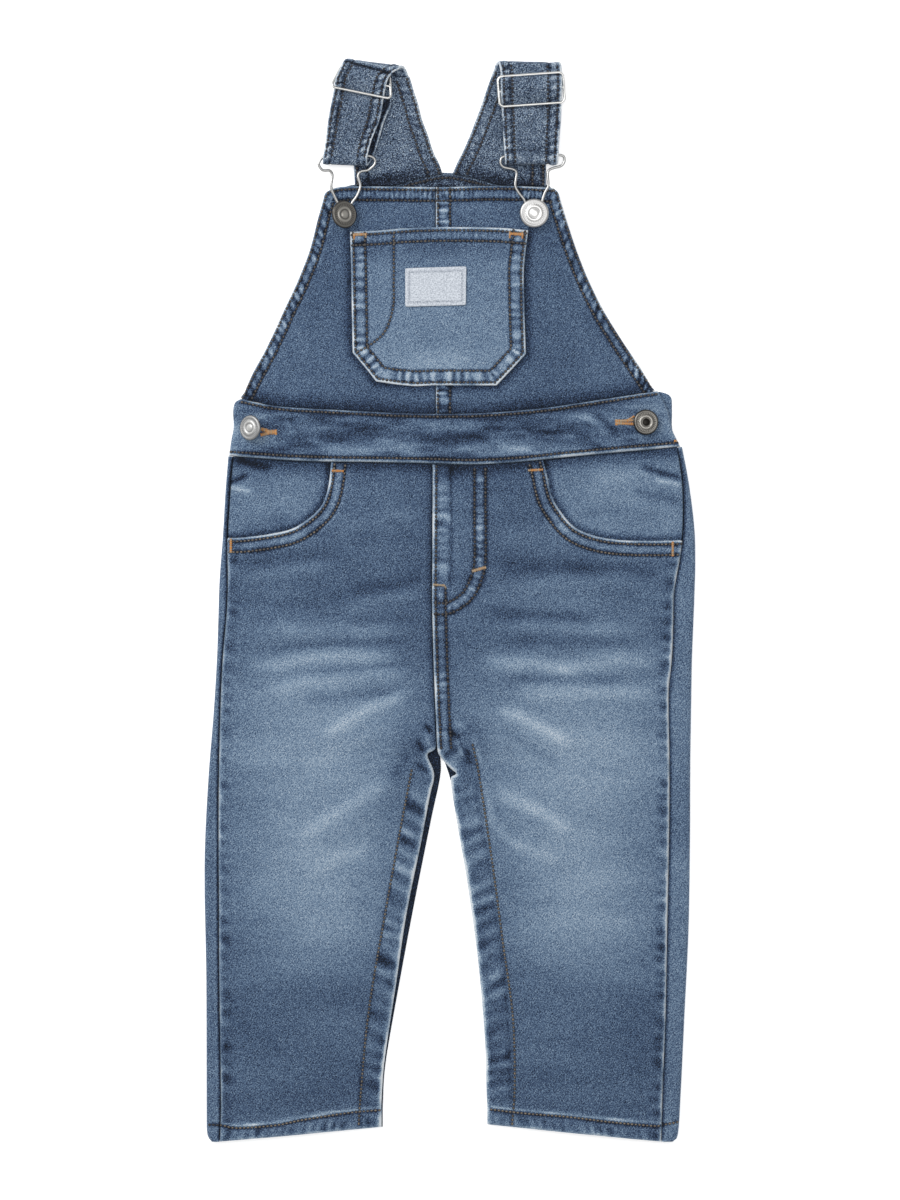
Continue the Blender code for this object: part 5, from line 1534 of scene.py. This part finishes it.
def above_yoke(x, y):
    """How far a place is above the seam between the yoke and the straps."""
    return -measured(PATHS["yoke_top"], x, y)[0]


panel(
    "back_yoke",
    yoke_low,
    yoke_top,
    yoke_left,
    yoke_right,
    BACK_BASE,
    lambda x, y: LAP_CLOTH + (CLOTH - LAP_CLOTH) * (above_yoke(x, y) < 0),
    YOKE_STEP,
    ["floor"],
)

# %% [markdown]
# ## Straps
#
# The back halves widen from the fold at the shoulder down to the back panel. Each front end is one
# long strip: over the fold, through the slider, round the bar of the hook, and back up under itself.

# %% Back straps
STRAP_STEP = 0.9
for side, outer_line, inner_line, low in (
    ("left", LEFT_STRAP_OUTER, LEFT_STRAP_INNER, LEFT_STRAP_LOW),
    ("right", RIGHT_STRAP_OUTER, RIGHT_STRAP_INNER, RIGHT_STRAP_LOW),
):
    left, right = (outer_line, inner_line) if side == "left" else (inner_line, outer_line)
    panel(
        f"strap_back_{side}",
        low,
        [left[-1], right[-1]],
        left,
        right,
        lambda x, y, u, v: LAP_RISE * ease((2 * YOKE_LAP - above_yoke(x, y)) / YOKE_LAP),
        STRAP_BACK_CLOTH,
        STRAP_STEP,
        ["floor"],
    )

# %% [markdown]
# A front strap's path is a table of its left and right edges with a height for each, so the strip can
# turn and slant as well as bend. Its front and rear sides lie half the cloth's thickness from there.

# %% Front straps
# Wear beside the left and the right edge, with the columns of SEAMS from its rows of stitches on
STRAP_WEAR = ((1.7, 5.9), 0.85, 0.16, 0.14, 0.30, 4.4, 0.3)
STRAP_FAR_WEAR = ((2.2, 7.6), 1.00, 0.20, 0.14, 0.32, 5.0, -0.3)
# How much darker the rear layer of a strap is painted, as painted shade under the front layer, and above
# what height the strap's face shows
REAR_SHADE = 0.45
SHOWN_Z = 3.0
# Creases of the shown face: from x, y, to x, y, half width, wash added, rise in mm. A dark crease in a
# dip is painted shade, and a pale one on a rise is painted light
STRAP_CREASES = {
    "left": [
        (-56.0, 300.0, -31.4, 293.4, 0.8, -0.80, -0.6), (-56.0, 302.0, -31.4, 295.4, 0.9, 0.30, 0.1),
    ],
    "right": [
        (29.0, 252.0, 61.0, 251.0, 1.6, -0.12, -0.2), (29.0, 246.5, 61.0, 246.5, 1.4, 0.18, 0.2),
    ],
}


def front_strap(side, path, rear_start):
    """A front end of a strap. Its rear layer starts at the row of its path called rear_start."""
    fine = curve(path)
    middle = (fine[:, [0, 1]] + fine[:, [2, 3]]) / 2
    middle = np.column_stack([middle, fine[:, 4]])
    gone = gone_along(middle)
    v = shares(gone[-1], STRAP_STEP) * gone[-1]
    rows = np.stack([np.interp(v, gone, column) for column in fine.T], axis=1)
    widths = np.hypot(rows[:, 2] - rows[:, 0], rows[:, 3] - rows[:, 1])
    width, area = float(widths.max()), float(np.trapz(widths, v)) * MM**2
    u = shares(width, STRAP_STEP)[None, :, None]
    left, right = rows[:, None, [0, 1, 4]], rows[:, None, [2, 3, 4]]
    centre = left * (1 - u) + right * u
    normal = normals_of(centre)
    from_left = np.broadcast_to(u[..., 0] * width, centre.shape[:2])
    from_right = width - from_left
    along = np.broadcast_to(v[:, None], centre.shape[:2])
    seed = 31 + len(side)
    lift = 0.12 * clouds(from_left, along, 8.0, seed)
    wash = BASE_WASH["strap_front"] + 0.10 * clouds(from_left, along, 9.0, seed + 1)
    wash = wash + 0.07 * clouds(from_left, along, 3.0, seed + 2)
    rear = ease((along - gone[(rear_start - 1) * CURVE_STEPS]) / 4.0)
    # Painted shade: the rear layer of the loop is darker, but for its edge
    wash = wash - REAR_SHADE * rear * ease((from_right - 1.0) / 1.0)
    x, y, z = np.moveaxis(centre, 2, 0)
    # Creases: painted shade in their dips and painted light on their rises
    for *line, crease_width, added, rise in STRAP_CREASES[side]:
        _, away = beside(x, y, *line)
        shape = bump(away, crease_width) * (z > SHOWN_Z)
        wash, lift = wash + added * shape, lift + rise * shape
    for away, wear in ((from_left, STRAP_WEAR), (from_right, STRAP_FAR_WEAR)):
        lifted, worn = worn_seam(away, along, 1.0, ROW_SHADE, wear, seed + 3)
        lift, wash = lift + lifted, wash + worn
    edge = np.minimum(np.minimum(from_left, from_right), np.minimum(along, gone[-1] - along))
    half = STRAP_CLOTH / 2 - rolled(edge, STRAP_CLOTH) * 0.5
    sign = np.sign(normal[len(v) // 3, 0, 2])
    outer = centre + sign * normal * (half + lift * ease(edge / 1.2))[..., None]
    inner = centre - sign * normal * half[..., None]
    name = f"strap_front_{side}"
    piece = cloth_wall(f"cloth_{name}", outer, inner, wash, wash)
    cloth_cut(name, piece, width, float(gone[-1]), area, [f"strap_back_{side}"])
    print(name, "cut", round(width, 1), "by", round(float(gone[-1])), "mm")


front_strap("left", LEFT_STRAP_PATH, 13)
front_strap("right", RIGHT_STRAP_PATH, 12)

# %% [markdown]
# ## Metal
#
# The hooks and sliders are bent from nickel-plated wire. A tack button is a pressed cap on a stem. Its
# profile is turned round with the spin operator, and a fine knurl is pressed into its ring.

# %% Hooks and sliders
# How bright the hooks are, and points round a hook and round each corner of a slider
HOOK_POLISH = 0.45
WIRE_POINTS = 150
CORNER_POINTS = 9


def smooth_closed(points, count):
    line = curve(points, closed=True)
    return at_shares(line, np.linspace(0, 1, count + 1)[:-1])


def wire_mesh(name, points, closed, radius):
    """A round wire through the points, as a mesh."""
    bent = bpy.data.curves.new(name, "CURVE")
    bent.dimensions = "3D"
    bent.bevel_depth = radius * MM
    bent.bevel_resolution = 4
    bent.use_fill_caps = True
    spline = bent.splines.new("POLY")
    spline.points.add(len(points) - 1)
    for place, point in zip(spline.points, points):
        place.co = (*(np.array(point) * MM), 1.0)
    spline.use_cyclic_u = closed
    holder = add_object(name, bent)
    graph = bpy.context.evaluated_depsgraph_get()
    mesh = bpy.data.meshes.new_from_object(holder.evaluated_get(graph))
    bpy.data.objects.remove(holder)
    return mesh


def metal(name, node, meshes, material, polish_at=lambda vert: 0.8):
    """One metal piece. Polish is 1 where plate is rubbed bright and 0 in a hollow."""
    builder = bmesh.new()
    for mesh in meshes:
        builder.from_mesh(mesh)
    bmesh.ops.recalc_face_normals(builder, faces=builder.faces)
    layer = builder.verts.layers.float.new("polish")
    for vert in builder.verts:
        vert[layer] = polish_at(vert)
    mesh = finished_mesh(name, builder, material)
    mesh.shade_smooth()
    hand_over(add_object(name, mesh), node)


for side, points in (("left", LEFT_HOOK), ("right", RIGHT_HOOK)):
    line = smooth_closed(points, WIRE_POINTS)
    wire = wire_mesh("wire", line, True, WIRE_RADIUS)
    metal(f"wire_hook_{side}", f"hook_{side}", [wire], bright_nickel, lambda vert: HOOK_POLISH)

for name, x, y, z, width, height, turn, pitch in SLIDERS:
    outline = []
    for quarter, (side, end) in enumerate(((1, 1), (-1, 1), (-1, -1), (1, -1))):
        middle = Vector((side * (width / 2 - SLIDER_CORNER), end * (height / 2 - SLIDER_CORNER), 0))
        for angle in np.linspace(90 * quarter, 90 * (quarter + 1), CORNER_POINTS):
            turned = Matrix.Rotation(math.radians(angle), 3, "Z")
            outline.append(middle + turned @ Vector((SLIDER_CORNER, 0, 0)))
    bar = [Vector((-width / 2, 0, 0)), Vector((width / 2, 0, 0))]
    for point in (*outline, *bar):
        point.x *= 1 - 2 * SLIDER_TAPER[name] / width * (point.y / height + 0.5)
    place = Matrix.Translation((x, y, z)) @ Matrix.Rotation(math.radians(turn), 4, "Z")
    place = place @ Matrix.Rotation(math.radians(pitch), 4, "X")
    ring = wire_mesh("ring", [place @ point for point in outline], True, WIRE_RADIUS)
    across = wire_mesh("bar", [place @ point for point in bar], False, WIRE_RADIUS)
    metal(f"wire_{name}", name, [ring, across], bright_nickel)
print("wire pieces: 4")

# %% [markdown]
# A tack button's profile goes from the middle of the stem's foot, round the rim, to the middle of the
# cap. Its polish depends on how high a place on the cap is, as plate wears where it stands out.

# %% Tack buttons
BUTTON_STEPS = 96
# The knurl: number of its ridges, their height, and where its ring is as shares of the radius
KNURLS = 32
KNURL_DEPTH = 0.16
KNURL_RING = (0.58, 0.80)
# How far below the top of a cap plate has lost all its polish
HOLLOW = 0.6


def tack_button(name, x, y, underside, radius, lean, foot, material, least=0.0, heart=0.0):
    """A button. Least is the polish of its hollows, and heart how far from its middle it is dark."""
    top = CAP_THICKNESS
    profile = [
        (0.0, foot + WIRE_CLEARANCE - underside), (STEM_RADIUS, foot + WIRE_CLEARANCE - underside),
        (STEM_RADIUS, 0.0), (radius - 0.8, 0.0), (radius - 0.15, 0.25), (radius, 0.7),
        (radius - 0.25, 1.25), (radius - 0.9, top - 0.35), (0.84 * radius, top - 0.28),
        (0.80 * radius, top - 0.42), (0.69 * radius, top - 0.40), (0.58 * radius, top - 0.36),
        (0.54 * radius, top - 0.15), (0.48 * radius, top), (0.42 * radius, top - 0.10),
        (0.37 * radius, top - 0.38), (0.32 * radius, top - 0.42), (0.26 * radius, top - 0.15),
        (0.12 * radius, top + 0.02), (0.0, top + 0.05),
    ]
    builder = bmesh.new()
    verts = [builder.verts.new((r, 0.0, z)) for r, z in profile]
    edges = [builder.edges.new(pair) for pair in zip(verts, verts[1:])]
    spin = dict(axis=(0, 0, 1), cent=(0, 0, 0), angle=2 * math.pi, steps=BUTTON_STEPS, use_merge=True)
    bmesh.ops.spin(builder, geom=verts + edges, **spin)
    bmesh.ops.remove_doubles(builder, verts=builder.verts, dist=1e-4)
    for vert in builder.verts:
        reach = math.hypot(vert.co.x, vert.co.y) / radius
        if vert.co.z > 1.0 and KNURL_RING[0] < reach < KNURL_RING[1]:
            vert.co.z += KNURL_DEPTH * math.cos(KNURLS * math.atan2(vert.co.y, vert.co.x))
    leaning = Matrix.Rotation(math.radians(lean), 4, "Y")
    placed = Matrix.Scale(MM, 4) @ Matrix.Translation((x, y, underside)) @ leaning
    bmesh.ops.transform(builder, verts=builder.verts, matrix=placed)
    upright = placed.inverted()

    def polish_at(vert):
        place = upright @ vert.co
        if heart and math.hypot(place.x, place.y) < heart:
            return 0.0
        return min(1.0, max(least, 1.0 - (top - place.z) / HOLLOW))

    metal(f"tack_{name}", name, [finished_mesh(name, builder, material)], material, polish_at)


# Plate, polish of the hollows, and how far from the middle the cap has stayed dark
FINISHES = {
    "bib_button_left": (dark_nickel, 0.1),
    "bib_button_right": (satin_nickel, 0.45),
    "side_button_left": (rubbed_nickel, 0.2),
    "side_button_right": (dark_nickel, 0.0, 2.0),
}
for name, *sizes in BUTTONS:
    tack_button(name, *sizes, *FINISHES[name])
print("buttons:", len(BUTTONS))

# %% [markdown]
# ## Topstitching
#
# Every stitch is a short fat thread that dips into the cloth at both ends. One small ellipsoid is made
# once and copied along each row. A ray straight down finds the cloth under each stitch, and which way
# it faces there.

# %% Stitches
# A stitch's length, width and height, how far apart they are, and how far above the cloth's surface
# their middles are
STITCH = (2.0, 1.65, 0.7)
PITCH = 2.15
STITCH_LIFT = 0.08
# Tints of a thread, from dark to gold: its flanks, dark as painted shade, its crown, pale as a painted
# highlight, how much crowns differ, and the palest that a crown may be
SHADED_FLANK, LIT_CROWN, LIT_CROWN_SPREAD, PALEST_LIT_CROWN = 0.30, 0.56, 0.34, 0.93
# Rows: cloth they are on, path, offsets from it, how much more golden, from share, to share
ROWS = [
    ("bib_left", "armhole_left", (1.1,)),
    ("bib_left", "armhole_left", (5.9,), 0.0, 0.0, 0.97),
    ("bib_right", "armhole_right", (1.1,)),
    ("bib_right", "armhole_right", (5.9,), 0.0, 0.03),
    ("bib_left bib_right", "bib_top", (1.8, 7.7)),
    ("bib_right", "bib_seam", (1.3,), 0.0, 0.0, 0.11),
    ("bib_right", "bib_seam", (1.3,), 0.0, 0.83),
    ("bib_right", "bib_seam", (8.0,), 0.0, 0.0, 0.11),
    ("bib_right", "bib_seam", (8.0,), 0.0, 0.83),
    ("bib_pocket", "pocket_edge", (1.7, 8.2)),
    ("bib_pocket", "pocket_top", (1.9, 7.7)),
    ("bib_pocket", "pen_slot", (0.0,), 0.12),
    ("waistband_front", "band_top", (1.6,)),
    ("waistband_front", "band_low", (2.3,)),
    ("leg_front_left", "mouth_left", (2.0, 8.0), 0.12),
    ("leg_front_right", "mouth_right", (2.0, 8.0), 0.12),
    ("leg_front_right", "centre", (2.1,), -0.12),
    ("leg_front_right", "centre", (7.7,), -0.12, 0.0, FLY_SHARE),
    ("leg_front_right", "fly", (0.0, 6.1), -0.12),
    ("leg_front_left", "placket_left", (0.0,), 0.16),
    ("leg_front_right", "placket_right", (0.0,), 0.16),
    ("leg_front_left leg_back_left", "hem_left", (0.0,), 0.34),
    ("leg_front_right leg_back_right", "hem_right", (0.0,), 0.34),
    ("back_yoke", "yoke_top", (1.6,), -0.2),
    ("strap_back_left", "back_strap_left", (1.7, 7.6), -0.2),
    ("strap_back_right", "back_strap_right", (1.7, 7.6), -0.2),
    ("strap_back_left", "back_strap_outer_left", (1.7,)),
    ("strap_back_right", "back_strap_outer_right", (1.7, 7.6)),
]


# Rows down a front strap, as shares of its width, and the part of its path that shows
STRAP_ROWS = (0.055, 0.19, 0.77, 0.93)
SHOWN_PART = slice(3, 11)


def strap_line(path, share):
    """A line down the shown face of a front strap, at a share of its width."""
    rows = np.array(path[SHOWN_PART])
    return path_of(rows[:, [0, 1]] * (1 - share) + rows[:, [2, 3]] * share)


for side, path in (("left", LEFT_STRAP_PATH), ("right", RIGHT_STRAP_PATH)):
    for number, share in enumerate(STRAP_ROWS):
        PATHS[f"strap_{side}_{number}"] = strap_line(path, share)
        ROWS.append((f"strap_front_{side}", f"strap_{side}_{number}", (0.0,)))

# A ray starts from this height, in mm
RAY_START = 30.0
graph = bpy.context.evaluated_depsgraph_get()
surfaces = {node: BVHTree.FromObject(piece, graph) for node, piece in cloths.items()}


def cloth_under(names, x, y):
    """The point and the normal of the highest cloth under a place, or None."""
    found = None
    for name in names.split():
        point, normal, _, _ = surfaces[name].ray_cast(Vector((x, y, RAY_START)) * MM, Vector((0, 0, -1)))
        if point and (found is None or point.z > found[0].z):
            found = (point, normal)
    return found


def stitch_at(names, x, y, way, size, tint):
    """Where one thread lies: a matrix and its two tints, the shaded flank and the lit crown, or nothing
    where there is no cloth.
    """
    found = cloth_under(names, x, y)
    if not found:
        return []
    point, normal = found
    along = Vector((way[0], way[1], 0.0))
    along = (along - along.dot(normal) * normal).normalized()
    side = normal.cross(along)
    turned = Matrix((along, side, normal)).transposed().to_4x4()
    place = Matrix.Translation(point + normal * STITCH_LIFT * MM) @ turned
    return [(place @ Matrix.Diagonal((*(s * MM / 2 for s in size), 1.0)), tint)]


def rows_of_stitches(names, path, offsets, gold=0.0, start=0.0, stop=1.0):
    """Stitches along a path, one row for each offset from it."""
    stitches = []
    for away in offsets:
        line = offset(PATHS[path], away) if away else PATHS[path]
        count = max(2, round(gone_along(line)[-1] * (stop - start) / PITCH))
        middles = at_shares(line, start + (stop - start) * (np.arange(count) + 0.5) / count)
        for (x, y), way in zip(middles, np.gradient(middles, axis=0)):
            size = [s * random.uniform(0.92, 1.08) for s in STITCH]
            way = Vector(way).normalized()
            way.rotate(Matrix.Rotation(math.radians(random.uniform(-6, 6)), 2))
            # The crown's paler tint is a painted highlight
            crown = min(PALEST_LIT_CROWN, LIT_CROWN + gold + LIT_CROWN_SPREAD * random.betavariate(1.6, 2.4))
            stitches += stitch_at(names, x, y, way, size, (random.uniform(0, SHADED_FLANK), crown))
    return stitches


# Pitch and height of a bartack's threads
SATIN = (0.55, 0.95)
# Bartacks and buttonhole edges: cloth, from x, y, to x, y, width, and tint where it isn't gold
BARTACKS = [
    ("bib_pocket", -54.2, 204.0, -46.4, 204.3, 2.2),
    ("bib_pocket", -53.6, 204.6, -53.6, 201.2, 1.6),
    ("bib_pocket", -47.0, 204.6, -47.0, 202.2, 1.4),
    ("bib_pocket", 33.0, 204.6, 41.0, 204.1, 2.2),
    ("bib_pocket", 33.4, 206.0, 33.4, 202.0, 1.4),
    ("bib_pocket", 40.4, 205.8, 40.4, 201.8, 1.4),
    ("leg_front_left", -66.1, 72.2, -59.4, 72.0, 1.7),
    ("leg_front_left leg_back_left", -122.4, 34.4, -122.4, 26.4, 1.7),
    ("leg_front_right", 43.5, 72.4, 52.0, 72.8, 1.7),
    ("leg_front_right leg_back_right", 124.4, 32.6, 124.4, 24.4, 1.7),
    ("leg_front_right", 12.3, 16.0, 20.2, 18.4, 2.1, 0.93),
    ("leg_front_right", -9.3, 8.6, -3.0, 8.1, 1.6, 0.94),
    ("leg_front_right", -3.2, 8.4, -2.2, 6.6, 1.2, 0.88),
    ("waistband_front", 125.2, 88.9, 127.4, 88.9, 1.4),
    ("waistband_front", -105.8, 95.6, -101.0, 94.2, 2.3),
    ("waistband_front", -105.8, 92.2, -101.0, 93.2, 2.3),
    ("waistband_front", -102.4, 93.7, -97.0, 93.7, 3.2),
    ("waistband_front", -97.2, 95.2, -97.2, 92.2, 1.6),
    ("waistband_front", 93.2, 99.9, 103.0, 100.4, 1.9),
    ("waistband_front", 93.2, 98.7, 103.0, 98.3, 1.9),
    ("waistband_front", 93.0, 100.9, 93.0, 97.5, 2.2),
    ("waistband_front", 99.6, 100.6, 103.0, 102.6, 1.6),
]


def bartack(names, x0, y0, x1, y1, width, tint=0.97):
    length = math.hypot(x1 - x0, y1 - y0)
    across = Vector((y0 - y1, x1 - x0)) / length
    stitches = []
    count = max(3, round(length / SATIN[0]))
    for number in range(count):
        share = (number + 0.5) / count
        size = (width * random.uniform(0.85, 1.15), SATIN[0] * 1.15, SATIN[1])
        place = x0 + (x1 - x0) * share, y0 + (y1 - y0) * share
        shade = tint + random.uniform(-0.04, 0.03)
        stitches += stitch_at(names, *place, across, size, (shade, shade))
    return stitches


def threads(name, stitches):
    """One mesh of thread, with a copy of a small ellipsoid for each stitch."""
    pattern = bmesh.new()
    bmesh.ops.create_uvsphere(pattern, u_segments=6, v_segments=4, radius=1.0)
    pattern.verts.index_update()
    corners = np.array([(*vert.co, 1.0) for vert in pattern.verts])
    faces = np.array([[v.index for v in face.verts] for face in pattern.faces if len(face.verts) == 4])
    caps = np.array([[v.index for v in face.verts] for face in pattern.faces if len(face.verts) == 3])
    pattern.free()
    points = np.vstack([corners @ np.array(place).T for place, _ in stitches])[:, :3]
    starts = np.arange(len(stitches)) * len(corners)
    all_faces = [tuple(face + start) for start in starts for part in (faces, caps) for face in part]
    mesh = bpy.data.meshes.new(name)
    mesh.from_pydata(points, [], all_faces)
    # Painted highlight along the top of each stitch and painted shade on its flanks: the tint goes from
    # the flank's to the crown's towards the top
    highlight_share = np.sqrt(np.clip(corners[:, 2], 0, 1)) * (1 - np.abs(corners[:, 1]))
    shaded_flank, crown = np.array([tints for _, tints in stitches]).T[..., None]
    tints = (shaded_flank + (crown - shaded_flank) * highlight_share).ravel()
    mesh.attributes.new("tint", "FLOAT", "POINT").data.foreach_set("value", tints)
    mesh.shade_smooth()
    mesh.materials.append(thread)
    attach(add_object(name, mesh), "root")


seams = [stitch for row in ROWS for stitch in rows_of_stitches(*row)]
tacks = [stitch for row in BARTACKS for stitch in bartack(*row)]
threads("topstitching", seams)
threads("bartacks", tacks)
print("stitches:", len(seams), "threads of bartack:", len(tacks))

# %% [markdown]
# ## Sizes
#
# The looks have to stay within the imported model's box, apart from a little, so both boxes are written
# out side by side.

# %% Write the sizes and finish
shown_box = [list(corner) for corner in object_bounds()]
for name, box in (("packed", cad_box), ("shown", shown_box)):
    print(name, [round((high - low) / MM, 1) for low, high in zip(*box)], "mm")
